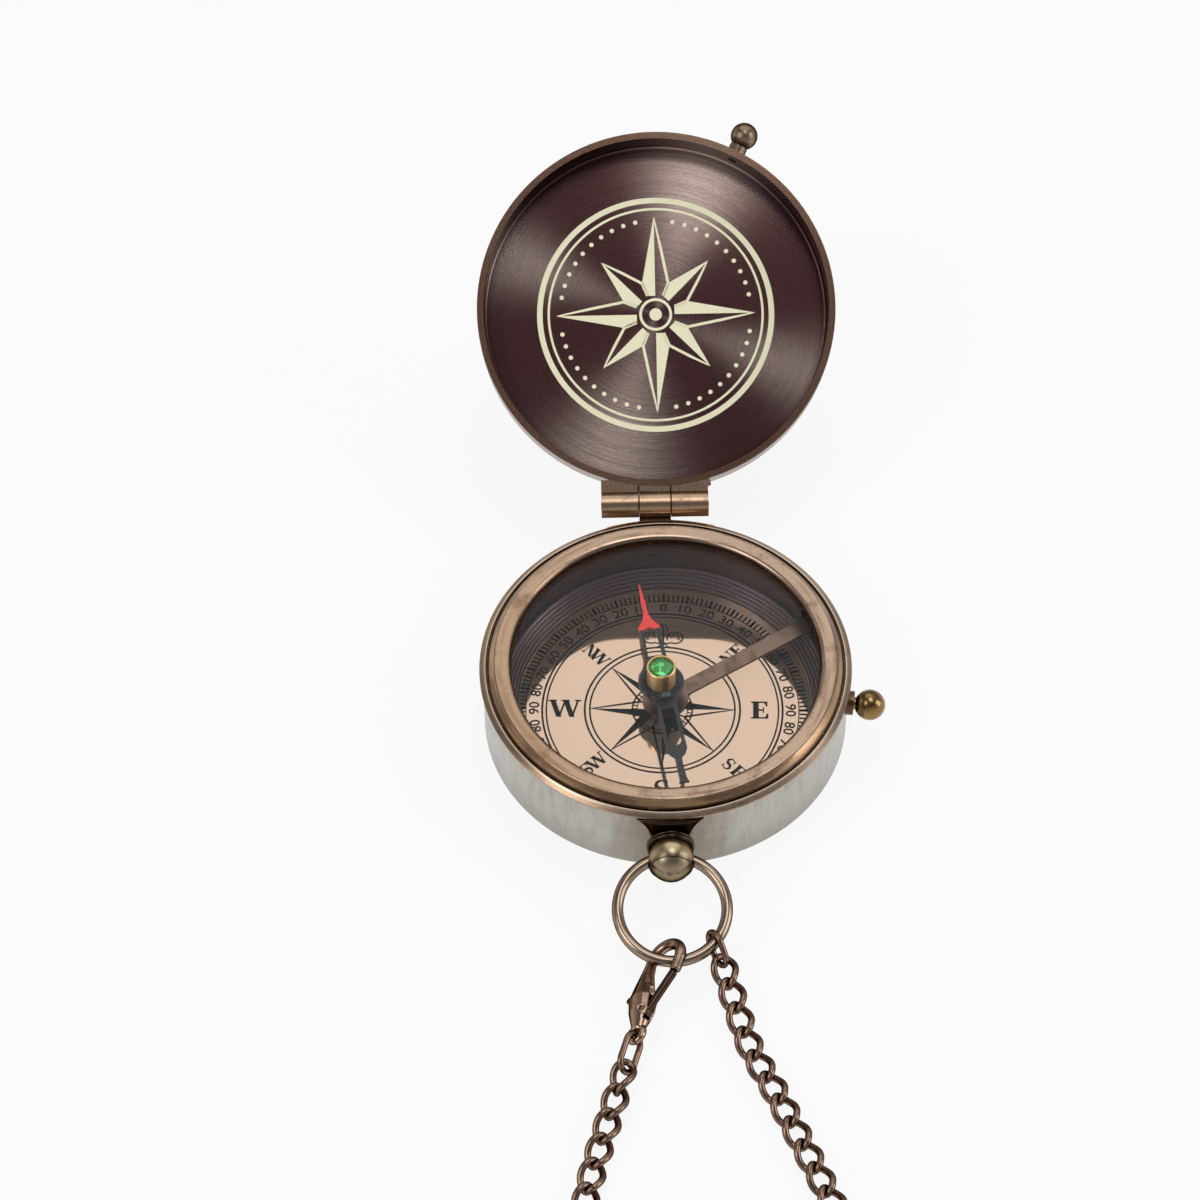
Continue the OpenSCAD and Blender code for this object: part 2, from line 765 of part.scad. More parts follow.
// Button: ball, stem through the wall, and the coned nose
module lock_button() {
    cone_h = stem_r - nose_tip_r;
    color([0.52, 0.45, 0.30])
    at_wall(button_az, button_z) {
        bar_x(stem_r, nose_r + cone_h, button_c);
        translate([nose_r, 0, 0]) rotate([0, 90, 0])
            cylinder(r1 = nose_tip_r, r2 = stem_r, h = cone_h, $fn = round_fn);
        ball_x(button_r, button_c);
    }
}

module button_collar() {
    color([0.48, 0.40, 0.28])
    difference() {
        at_wall(button_az, button_z) difference() {
            bar_x(collar_out_r, case_in_r, case_r + collar_l);
            bar_x(collar_bore_r, case_in_r - cut, case_r + collar_l + cut);
        }
        cylinder(r = case_r + seat, h = case_h, $fn = round_fn);
    }
}

// One curved plate against a wall, centred on a direction
module wall_plate(r, t, az, arc, z_low, z_high) {
    rotate([0, 0, az - arc / 2]) rotate_extrude(angle = arc, $fn = round_fn)
        translate([r, z_low]) square([t, z_high - z_low]);
}

module knuckle(x_low, x_high) {
    translate([hinge_x, hinge_y, hinge_z]) bar_x(barrel_r, x_low, x_high);
}

module hinge_bore() {
    translate([hinge_x, hinge_y, hinge_z]) bar_x(hinge_pin_r + run, -barrel_l, barrel_l);
}

// Case leaf: plate on the wall, tongue under the flange, middle knuckle
module case_hinge_leaf() {
    half = knuckle_l / 2 - knuckle_gap;
    color([0.50, 0.42, 0.30])
    difference() {
        union() {
            wall_plate(case_r + seat, leaf_t, 90, leaf_arc, leaf_z_low, case_h - seat);
            translate([hinge_x - half, case_r, tongue_z])
                cube([2 * half, hinge_y - case_r, tongue_t]);
            knuckle(-half, half);
        }
        hinge_bore();
        cylinder(r = case_r + seat, h = case_h, $fn = round_fn);
    }
}

module hinge_pin() {
    color([0.45, 0.40, 0.32])
    translate([hinge_x, hinge_y, hinge_z]) bar_x(hinge_pin_r, -barrel_l / 2 - run, barrel_l / 2 + run);
}

// Everything on the lid is drawn shut and then swung open about the hinge
module swung() {
    translate([0, hinge_y, hinge_z]) rotate([-lid_open, 0, 0]) translate([0, -hinge_y, -hinge_z]) children();
}

// A turned block with one rounded upper edge, as a half section
module rounded_section(r, h, edge) {
    square([r - edge, h]);
    square([r, h - edge]);
    translate([r - edge, h - edge]) circle(r = edge, $fn = round_fn);
}

module lid_shell() {
    color([0.30, 0.20, 0.19])
    swung() translate([0, 0, hinge_z]) difference() {
        turned() intersection() {
            difference() {
                rounded_section(lid_r, lid_h, lid_edge);
                translate([0, -cut]) rounded_section(lid_in_r, lid_depth + cut, lid_fillet);
            }
            translate([0, 0]) square([lid_r, lid_h]);
        }
        at_wall(lid_knob_az, lid_knob_z) bar_x(lid_stem_r + seat, lid_in_r - cut, lid_r + cut);
    }
}

// Lid leaf: a curved plate on the lid's wall, and two feet that carry the outer knuckles
module lid_hinge_leaf() {
    inner = knuckle_l / 2;
    outer = barrel_l / 2;
    reach = hinge_y - lid_r + lid_wall;
    color([0.50, 0.40, 0.29])
    swung() difference() {
        union() {
            for (s = [-1, 1]) {
                knuckle(s > 0 ? inner : -outer, s > 0 ? outer : -inner);
                translate([hinge_x + (s > 0 ? inner : -outer), lid_r - lid_wall, hinge_z + seat])
                    cube([outer - inner, reach, barrel_r * foot_share]);
            }
            wall_plate(lid_r + seat, leaf_t, 90, lid_leaf_arc, hinge_z + run, hinge_z + lid_leaf_h);
        }
        hinge_bore();
        translate([0, 0, hinge_z - cut]) cylinder(r = lid_r + seat, h = lid_h + 2 * cut, $fn = round_fn);
    }
}

module lid_knob() {
    color([0.52, 0.46, 0.32])
    swung() at_wall(lid_knob_az, hinge_z + lid_knob_z) {
        bar_x(lid_stem_r, lid_in_r + seat, lid_knob_c);
        ball_x(lid_knob_r, lid_knob_c);
    }
}

module lid_knob_collar() {
    color([0.48, 0.40, 0.28])
    swung() difference() {
        at_wall(lid_knob_az, hinge_z + lid_knob_z) difference() {
            bar_x(lid_collar_r, lid_in_r, lid_r + lid_collar_l);
            bar_x(lid_stem_r + seat, lid_in_r - cut, lid_r + lid_collar_l + cut);
            ball_x(lid_knob_r + seat, lid_knob_c);
        }
        translate([0, 0, hinge_z - cut]) cylinder(r = lid_r + seat, h = lid_h + 2 * cut, $fn = round_fn);
    }
}

// Half section of a turning about the pendant's axis, drawn outwards from the wall
module pendant_turned() {
    translate([0, 0, pendant_z]) rotate([90, 0, 0]) rotate_extrude($fn = round_fn) children();
}

// Flare: a concave cone that seats on the round wall
module pendant_flare() {
    reach = -collar_y - case_r - flare_lip;
    color([0.40, 0.31, 0.23])
    difference() {
        pendant_turned() polygon(concat(
            [[stud_r + run, case_r - flare_l], [flare_r, case_r - flare_l]],
            [for (p = flare_share) [collar_r + p[0] * (flare_r - collar_r), case_r + flare_lip + p[1] * reach]],
            [[stud_r + run, -collar_y]]
        ));
        cylinder(r = case_r + seat, h = case_h, $fn = round_fn);
    }
}

// Collar: two beads with a groove between them
module pendant_collar() {
    bead = collar_w / 4;
    color([0.50, 0.42, 0.28])
    pendant_turned() difference() {
        union() {
            translate([stud_r + run, -collar_y + seat]) square([collar_r - bead - stud_r - run, collar_w - 2 * seat]);
            for (i = [1, 3]) translate([collar_r - bead, -collar_y + i * bead]) circle(r = bead - seat, $fn = round_fn);
        }
        translate([0, -collar_y]) square([stud_r + run, collar_w]);
    }
}

// The ball, cut flat on the collar, bored across for the bow and split from its end cap
module pendant_ball() {
    color([0.60, 0.52, 0.33])
    difference() {
        pendant_turned() intersection() {
            translate([0, -pendant_y]) circle(r = pendant_r, $fn = round_fn);
            translate([0, -ball_flat_y]) square([pendant_r, ball_flat_y - split_y - split_w]);
        }
        translate([0, pendant_y, pendant_z]) bar_x(bow_bore_r, -pendant_d, pendant_d);
        at_wall(-90, pendant_z) bar_x(stud_r + seat, 0, -ball_flat_y + stud_r);
    }
}

module pendant_cap() {
    color([0.58, 0.54, 0.42])
    union() {
        pendant_turned() intersection() {
            translate([0, -pendant_y]) circle(r = pendant_r - split_w, $fn = round_fn);
            translate([0, -split_y - split_w + seat]) square([pendant_r, pendant_r]);
        }
    }
}

module pendant_stud() {
    color([0.62, 0.55, 0.38])
    at_wall(-90, pendant_z) bar_x(stud_r, case_in_r - stud_in, -ball_flat_y + stud_r / 2);
}

module pendant_nut() {
    color([0.62, 0.55, 0.38])
    at_wall(-90, pendant_z) difference() {
        translate([case_in_r - stud_in + seat, 0, 0]) rotate([0, 90, 0])
            cylinder(r = nut_r, h = stud_in - 2 * run, $fn = 6);
        bar_x(stud_r + seat, case_in_r - stud_in - cut, case_r);
    }
}

module bow_ring() {
    color([0.45, 0.36, 0.28])
    translate([0, pendant_y, pendant_z]) rotate([bow_tilt, 0, 0]) translate([0, -bow_drop, 0])
        rotate_extrude($fn = round_fn) translate([bow_r, 0]) circle(r = bow_wire_r, $fn = round_fn);
}

// A flat oval link along +X, from two half rings and two straight bars
module flat_link(length) {
    bow_b = link_b;
    straight = length / 2 - chain_r - bow_b;
    for (s = [0, 180]) rotate([0, 0, s]) {
        translate([straight, 0, 0]) rotate([0, 0, -90]) rotate_extrude(angle = 180, $fn = round_fn)
            translate([bow_b, 0]) circle(r = chain_r, $fn = round_fn);
        translate([0, bow_b, 0]) bar_x(chain_r, -straight, straight);
    }
}

// Lays a child drawn along +X along a direction, rolled about it
module laid(at, dir, roll) {
    side = unit(cross([0, 0, 1], dir));
    up = cross(dir, side);
    y = side * cos(roll) + up * sin(roll);
    z = up * cos(roll) - side * sin(roll);
    multmatrix([
        [dir[0], y[0], z[0], at[0]],
        [dir[1], y[1], z[1], at[1]],
        [dir[2], y[2], z[2], at[2]]
    ]) children();
}

module ring_link() {
    color([0.42, 0.32, 0.25])
    laid(ring_link_c, ring_link_dir, ring_link_roll) flat_link(link_l);
}

module clasp_link() {
    color([0.42, 0.32, 0.25])
    laid(clasp_link_c, clasp_link_dir, clasp_link_roll) flat_link(clasp_link_l);
}

// One twisted link of the chain, by its number from the bow
module chain_link(i) {
    s = (i + 0.5) * pitch - chain_r;
    here = point_at(route_points, route_table, s);
    back = point_at(route_points, route_table, s - pitch / 2);
    next = point_at(route_points, route_table, s + pitch / 2);
    laid(here, unit(next - back), first_roll * exp(-i) + last_roll * exp(i + 1 - link_count))
        polyhedron(
            points = link_tube(link_a, link_b, link_twist, chain_r, link_steps, link_sides),
            faces = loop_faces(link_steps, link_sides),
            convexity = 6
        );
}

// The links between two shares of the chain
module chain_part(k) {
    from = round(part_shares[k] * link_count);
    to = round(part_shares[k + 1] * link_count) - 1;
    color([0.42, 0.32, 0.25]) for (i = [from : to]) chain_link(i);
}

module chain_right() { chain_part(0); }
module chain_right_bend() { chain_part(1); }
module chain_front_bend() { chain_part(2); }
module chain_left_bend() { chain_part(3); }
module chain_left() { chain_part(4); }

// The clasp is drawn flat with its eye at the origin and its hook towards +X
module clasp_frame() {
    y = clasp_left;
    z = cross(clasp_dir, clasp_left);
    multmatrix([
        [clasp_dir[0], y[0], z[0], clasp_eye[0]],
        [clasp_dir[1], y[1], z[1], clasp_eye[1]],
        [clasp_dir[2], y[2], z[2], clasp_eye[2]]
    ]) children();
}

module back_lump(k) {
    s = back_shares[k];
    translate([s[0] * clasp_l, s[1] * clasp_l, 0]) scale([1, 1, back_flat])
        sphere(r = s[2] * clasp_l, $fn = soft_fn);
}

// Body: eye, swelling back, and the hook that curls round to the gate
module clasp_body() {
    tip = hook_start - hook_sweep;
    color([0.45, 0.34, 0.26])
    clasp_frame() difference() {
        union() {
            for (k = [0 : len(back_shares) - 2]) hull() {
                back_lump(k);
                back_lump(k + 1);
            }
            rotate_extrude($fn = round_fn) translate([clasp_eye_mean, 0])
                circle(r = clasp_eye_wire, $fn = round_fn);
            translate([clasp_l, hook_side, 0]) rotate([0, 0, tip])
                rotate_extrude(angle = hook_sweep, $fn = round_fn)
                translate([hook_r, 0]) circle(r = hook_wire / 2, $fn = round_fn);
            translate([clasp_l + 2 * run, hook_side - hook_r, 0]) rotate([0, -90, 0])
                cylinder(r = hook_wire / 2 - seat, h = hook_limb + 2 * run, $fn = round_fn);
        }
        cylinder(r = clasp_eye_mean - clasp_eye_wire, h = clasp_l, center = true, $fn = round_fn);
        // Slot for the gate, its thumb lever and its spring, and the pin's hole
        translate([slot_from, -clasp_l / 2, -gate_slot / 2])
            cube([slot_to - slot_from, clasp_l / 2 + slot_back_y, gate_slot]);
        translate([slot_back_from, 0, -gate_slot / 2])
            cube([slot_to - slot_back_from, clasp_l / 2, gate_slot]);
        translate([slot_from, -clasp_l / 2, -gate_slot / 2])
            cube([slot_gate_to - slot_from, clasp_l / 2 + slot_gate_y, gate_slot]);
        translate([gate_pivot_x, gate_pivot_y, 0])
            cylinder(r = clasp_pin_r + seat, h = clasp_l, center = true, $fn = round_fn);
    }
}

// Gate: a bar from the pin to the hook's tip, with the thumb lever across the body
module clasp_gate() {
    bar = [clasp_l - hook_limb, hook_side - hook_r] - [gate_pivot_x, gate_pivot_y];
    thumb = tab_at - [gate_pivot_x, gate_pivot_y];
    color([0.40, 0.31, 0.25])
    clasp_frame() difference() {
        translate([gate_pivot_x, gate_pivot_y, 0]) union() {
            cylinder(r = gate_hub_r, h = gate_t, center = true, $fn = round_fn);
            rotate([0, 0, atan2(bar[1], bar[0])]) rotate([0, 90, 0])
                cylinder(r = gate_r, h = norm(bar) - gate_gap, $fn = round_fn);
            rotate([0, 0, atan2(thumb[1], thumb[0])]) {
                translate([0, -tab_arm_w / 2, -gate_t / 2]) cube([norm(thumb), tab_arm_w, gate_t]);
                translate([norm(thumb), 0, 0]) cylinder(r = tab_r, h = gate_t, center = true, $fn = round_fn);
            }
        }
        translate([gate_pivot_x, gate_pivot_y, 0])
            cylinder(r = clasp_pin_r + run, h = clasp_l, center = true, $fn = round_fn);
    }
}

module clasp_pin() {
    color([0.50, 0.42, 0.34])
    clasp_frame() translate([gate_pivot_x, gate_pivot_y, 0])
        cylinder(r = clasp_pin_r, h = clasp_pin_l, center = true, $fn = round_fn);
}

// Return spring of the gate, wound in the body's slot beside the thumb lever
module clasp_spring() {
    color([0.70, 0.70, 0.74])
    clasp_frame() translate([spring_x, 2 * run, 0]) rotate([-90, 0, 0])
        coil(clasp_spring_r, clasp_spring_wire, spring_turns, clasp_l * 0.075);
}

case_body();
dial_spacer();
dial_plate();
dial_ring();
crystal_retainer();
crystal();
bezel();
pivot_post();
pivot_pin();
needle_blade();
needle_hub();
needle_cap();
needle_jewel();
lock_lever();
lever_bracket();
lever_pin();
lever_spring();
lock_button();
button_collar();
case_hinge_leaf();
hinge_pin();
lid_shell();
lid_hinge_leaf();
lid_knob();
lid_knob_collar();
pendant_flare();
pendant_collar();
pendant_ball();
pendant_cap();
pendant_stud();
pendant_nut();
bow_ring();
ring_link();
chain_right();
chain_right_bend();
chain_front_bend();
chain_left_bend();
chain_left();
clasp_link();
clasp_body();
clasp_gate();
clasp_pin();
clasp_spring();
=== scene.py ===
"""Pocket compass: finishes, dial print, lid engraving, smooth chain, floor, light and camera."""

import logging
import math
from dataclasses import dataclass, field, replace
from enum import Enum
from functools import cached_property

import bpy
import numpy as np
from mathutils import Matrix, Vector


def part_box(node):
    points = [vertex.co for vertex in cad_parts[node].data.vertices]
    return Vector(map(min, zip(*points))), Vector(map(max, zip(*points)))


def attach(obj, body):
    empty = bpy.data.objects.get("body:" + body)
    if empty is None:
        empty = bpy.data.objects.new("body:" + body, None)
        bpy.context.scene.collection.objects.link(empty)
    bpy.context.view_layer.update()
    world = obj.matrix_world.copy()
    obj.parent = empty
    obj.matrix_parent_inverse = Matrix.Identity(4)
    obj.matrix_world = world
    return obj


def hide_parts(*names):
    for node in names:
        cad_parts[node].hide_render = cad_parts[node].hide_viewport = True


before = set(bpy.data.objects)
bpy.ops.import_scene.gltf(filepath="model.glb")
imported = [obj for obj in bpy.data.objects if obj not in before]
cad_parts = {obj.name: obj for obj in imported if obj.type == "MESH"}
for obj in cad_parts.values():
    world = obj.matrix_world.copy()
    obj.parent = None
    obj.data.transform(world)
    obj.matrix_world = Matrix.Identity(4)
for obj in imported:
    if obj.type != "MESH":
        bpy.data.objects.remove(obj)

Socket = bpy.types.NodeSocket
Node = bpy.types.Node
Material = bpy.types.Material
Piece = bpy.types.Object

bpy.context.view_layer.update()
MM = 0.001
TURN = 2 * math.pi
INK = 0.012
HINGE = (-0.8, 29.8, 12.95)
LOG = logging.getLogger("compass")


class Across(Enum):
    """The polar reading that turned lines run across."""

    HEIGHT = "Height"
    RADIUS = "Radius"


def tone(red: int, green: int, blue: int) -> tuple:
    """A linear colour with alpha from display values of 0 to 255.

    Args:
        red: display red.
        green: display green.
        blue: display blue.

    Returns:
        The linear colour: below 0.04045 a twelfth, above it the 2.4 power.
    """
    share = np.array([red, green, blue]) / 255
    linear = np.where(share <= 0.04045, share / 12.92, ((share + 0.055) / 1.055) ** 2.4)
    return (*(float(v) for v in linear), 1.0)


def dimmed(colour: tuple, share: float) -> tuple:
    """A linear colour at a share of its brightness."""
    return (*(v * share for v in colour[:3]), 1.0)


def unit(v: np.ndarray) -> np.ndarray:
    """The vectors along the last axis, at length one."""
    return v / np.linalg.norm(v, axis=-1, keepdims=True)


def rim(count: int, first: float = 0.0) -> np.ndarray:
    """Points of the unit circle, evenly spaced, from an angle in steps of that spacing."""
    t = (np.arange(count) + first) * TURN / count
    return np.stack([np.cos(t), np.sin(t)], 1)


def spin(degrees: float) -> np.ndarray:
    """The matrix that turns points, held as rows, anticlockwise."""
    c, s = math.cos(math.radians(degrees)), math.sin(math.radians(degrees))
    return np.array([[c, s], [-s, c]])


# Meshes


def mesh_piece(name: str, points: np.ndarray, faces: list | np.ndarray, smooth: bool = True) -> Piece:
    """An object at the origin with its place in its mesh.

    Args:
        name: the piece's name.
        points: n by 3 array in millimetres.
        faces: lists of point numbers, or an array of them.
        smooth: whether its faces are shaded smooth.

    Returns:
        The linked object.
    """
    mesh = bpy.data.meshes.new(name)
    rows = faces.tolist() if isinstance(faces, np.ndarray) else faces
    mesh.from_pydata((np.asarray(points, float) * MM).tolist(), [], rows)
    mesh.polygons.foreach_set("use_smooth", np.full(len(mesh.polygons), smooth))
    mesh.update()
    piece = bpy.data.objects.new(name, mesh)
    bpy.context.scene.collection.objects.link(piece)
    return piece


def grid_faces(rows: int, columns: int, close_rows: bool, close_columns: bool, start: int = 0) -> np.ndarray:
    """Quads of a grid of points, row after row.

    Args:
        rows: number of rows of points.
        columns: points in a row.
        close_rows: whether the last row joins the first.
        close_columns: whether a row's last point joins its first.
        start: number of the grid's first point.

    Returns:
        An array of four point numbers each: this point, the next in the row, and the two in the next row.
    """
    i = np.arange(rows if close_rows else rows - 1)[:, None]
    j = np.arange(columns if close_columns else columns - 1)[None, :]
    k, n = (i + 1) % rows, (j + 1) % columns
    corners = [i * columns + j, i * columns + n, k * columns + n, k * columns + j]
    return start + np.stack([np.broadcast_to(c, (i.size, j.size)) for c in corners], -1).reshape(-1, 4)


def stack_faces(rows: int, columns: int) -> list:
    """Faces of closed rings laid one over the other, with a flat face at both ends."""
    ends = [list(range(columns - 1, -1, -1)), list(range((rows - 1) * columns, rows * columns))]
    return grid_faces(rows, columns, False, True).tolist() + ends


def tube_rings(path: np.ndarray, along: np.ndarray, out: np.ndarray, radius: float, sides: int) -> np.ndarray:
    """Rings of a tube: path plus radius times (cos q times out, plus sin q times along cross out).

    Args:
        path: n by 3 points on the middle of the wire.
        along: n by 3 unit tangents.
        out: n by 3 unit normals of the path.
        radius: the wire's radius.
        sides: points in a ring.

    Returns:
        n by sides by 3 points.
    """
    q = np.linspace(0, TURN, sides, endpoint=False)[None, :, None]
    side = np.cross(along, out)
    return path[:, None] + radius * (np.cos(q) * out[:, None] + np.sin(q) * side[:, None])


def placed(points: np.ndarray, origin: np.ndarray, axes: np.ndarray) -> np.ndarray:
    """Points drawn in a piece's own frame, laid at origin with its three axes as the rows of axes."""
    return origin + points @ axes


@dataclass(frozen=True)
class Lay:
    """A plane in the row frame: its origin and the three axes as rows, in millimetres."""

    origin: np.ndarray
    axes: np.ndarray


@dataclass
class Flat:
    """Flat shapes in one plane, gathered into one thin plate of ink or of engraving."""

    points: list = field(default_factory=list)
    faces: list = field(default_factory=list)
    count: int = 0
    serif: float = 0.085
    curl: tuple = (0.25, 0.235, 25.0, 245.0)
    curl_width: tuple = (0.07, 0.14)
    type_share: float = 1.42
    type_bold: float = 0.03

    def strokes(self, kind: str) -> tuple:
        """The straight strokes of N, E, S or W, on a box one high round the middle.

        Each is a trapezoid: its lower and upper height, its left and right at the bottom, and at the top.
        """
        foot, head = (-0.5, self.serif - 0.5), (0.5 - self.serif, 0.5)
        whole = (-0.5, 0.5)
        return {
            "E": (
                (*whole, -0.32, -0.05, -0.32, -0.05), (*head, -0.42, 0.36, -0.42, 0.36),
                (*foot, -0.42, 0.40, -0.42, 0.40), (-0.045, 0.045, -0.08, 0.16, -0.08, 0.16),
                (-0.17, 0.17, 0.14, 0.20, 0.14, 0.20), (0.22, 0.44, 0.30, 0.36, 0.20, 0.36),
                (-0.44, -0.20, 0.24, 0.40, 0.34, 0.40),
            ),
            "W": (
                (*whole, -0.41, -0.15, -0.73, -0.47), (*whole, 0.21, 0.47, -0.11, 0.15),
                (*whole, -0.33, -0.23, -0.03, 0.07), (*whole, 0.29, 0.39, 0.57, 0.67),
                (*head, -0.80, -0.40, -0.80, -0.40), (*head, -0.18, 0.22, -0.18, 0.22),
                (*head, 0.47, 0.77, 0.47, 0.77),
            ),
            "N": (
                (*whole, -0.38, -0.31, -0.38, -0.31), (*whole, 0.31, 0.38, 0.31, 0.38),
                (*whole, 0.16, 0.38, -0.46, -0.18), (*foot, -0.495, -0.195, -0.495, -0.195),
                (*head, 0.195, 0.495, 0.195, 0.495),
            ),
            "S": ((0.18, 0.5, 0.22, 0.28, 0.22, 0.28), (-0.5, -0.16, -0.30, -0.24, -0.30, -0.24)),
        }[kind]

    def add(self, points: np.ndarray, faces: np.ndarray | list) -> None:
        """Takes points (n by 2) and faces numbered from them."""
        self.points.append(np.asarray(points, float))
        self.faces += [[self.count + int(v) for v in f] for f in faces]
        self.count += len(points)

    def outline(self, points: np.ndarray | list) -> None:
        """One face with this outline, turned anticlockwise where it isn't."""
        p = np.asarray(points, float)
        x, y = p[:, 0], p[:, 1]
        if np.sum(x * np.roll(y, -1) - np.roll(x, -1) * y) < 0:
            p = p[::-1]
        self.add(p, [list(range(len(p)))])

    def band(self, line: np.ndarray | list, width: np.ndarray | float, closed: bool = False) -> None:
        """A line of points widened by half its width to both sides along its normals.

        Args:
            line: n by 2 points.
            width: one width, or one for each point.
            closed: whether the line's end joins its start.
        """
        line = np.asarray(line, float)
        run = np.roll(line, -1, 0) - np.roll(line, 1, 0) if closed else np.gradient(line, axis=0)
        run = unit(run)
        normal = np.stack([-run[:, 1], run[:, 0]], 1)
        half = np.broadcast_to(np.asarray(width, float), (len(line),))[:, None] / 2
        rows = np.stack([line - normal * half, line + normal * half], 1).reshape(-1, 2)
        self.add(rows, grid_faces(len(line), 2, closed, False)[:, ::-1])

    def ring(self, radius: float, width: float, steps: int = 160) -> None:
        """A round line of this radius and width."""
        self.band(rim(steps) * radius, width, True)

    def disc(self, radius: float, steps: int, centre: tuple = (0, 0)) -> None:
        """A filled round spot."""
        self.outline(rim(steps) * radius + centre)

    def bars(self, count: int, low: float, high: float, width: float) -> None:
        """Radial bars, evenly spaced round the middle.

        Args:
            count: how many.
            low: inner radius.
            high: outer radius.
            width: width of a bar.
        """
        c, s = rim(count).T[:, :, None]
        u = np.array([low, high, high, low])[None, :]
        v = np.array([-width, -width, width, width])[None, :] / 2
        points = np.stack([u * c - v * s, u * s + v * c], -1).reshape(-1, 2)
        self.add(points, np.arange(4 * count).reshape(-1, 4))

    def letter(self, kind: str, height: float, centre: np.ndarray, turn: float) -> None:
        """A serif capital.

        Args:
            kind: one of N, E, S and W.
            height: height of the capital.
            centre: where its middle goes.
            turn: how far it is turned, in degrees anticlockwise.
        """
        part = Flat()
        for low, high, low_left, low_right, high_left, high_right in self.strokes(kind):
            part.outline([(low_left, low), (low_right, low), (high_right, high), (high_left, high)])
        if kind == "S":
            wide, tall, first, sweep = self.curl
            t = np.linspace(0, 1, 33)
            upper = t < 0.5
            a = np.radians(np.where(upper, first + sweep * t * 2, 90 - sweep * (t * 2 - 1)))
            line = np.stack([wide * np.cos(a), tall * np.sin(a) + np.where(upper, tall, -tall)], 1)
            thin, more = self.curl_width
            part.band(line, thin + more * np.sin(math.pi * t) ** 2)
        self.add(np.concatenate(part.points) * height @ spin(turn) + centre, part.faces)

    def words(self, text: str, height: float, centre: np.ndarray, turn: float, spread: float) -> None:
        """Plain numbers from the built-in typeface, made a mesh before they are placed."""
        curve = bpy.data.curves.new("figures", "FONT")
        curve.body, curve.size, curve.resolution_u = text, height * self.type_share, 3
        curve.align_x, curve.align_y, curve.offset = "CENTER", "CENTER", self.type_bold
        holder = bpy.data.objects.new("figures", curve)
        mesh = holder.to_mesh()
        flat = np.zeros(len(mesh.vertices) * 3)
        mesh.vertices.foreach_get("co", flat)
        faces = [list(p.vertices) for p in mesh.polygons]
        holder.to_mesh_clear()
        bpy.data.objects.remove(holder)
        bpy.data.curves.remove(curve)
        p = flat.reshape(-1, 3)[:, :2]
        p = (p - (p.min(0) + p.max(0)) / 2) * [spread, 1]
        self.add(p @ spin(turn) + centre, faces)

    def plate(self, name: str, lay: Lay) -> Piece:
        """The shapes as one thin plate.

        Args:
            name: the piece's name.
            lay: where the plane lies.

        Returns:
            The object, with a live Solidify modifier that grows it away from the plane's face.
        """
        flat = np.concatenate(self.points)
        points = placed(np.column_stack([flat, np.zeros(len(flat))]), lay.origin, lay.axes)
        piece = mesh_piece(name, points, self.faces, False)
        solid = piece.modifiers.new("thickness", "SOLIDIFY")
        solid.thickness, solid.offset = INK * MM, 1
        return piece


# Shader graphs


@dataclass(frozen=True)
class Turn:
    """Where a Mapping node brings the middle of a turned piece, and how it turns its axis to Z."""

    centre: tuple = (0.0, 0.0, 0.0)
    angles: tuple = (0.0, 0.0, 0.0)

    @property
    def rotation(self) -> tuple:
        """Euler angles in radians."""
        return tuple(math.radians(a) for a in self.angles)

    @property
    def location(self) -> tuple:
        """Minus the centre, in metres, turned as the piece is."""
        x, y, z = (Matrix.Rotation(a, 3, axis) for a, axis in zip(self.rotation, "XYZ"))
        return tuple(-(z @ y @ x @ (Vector(self.centre) * MM)))


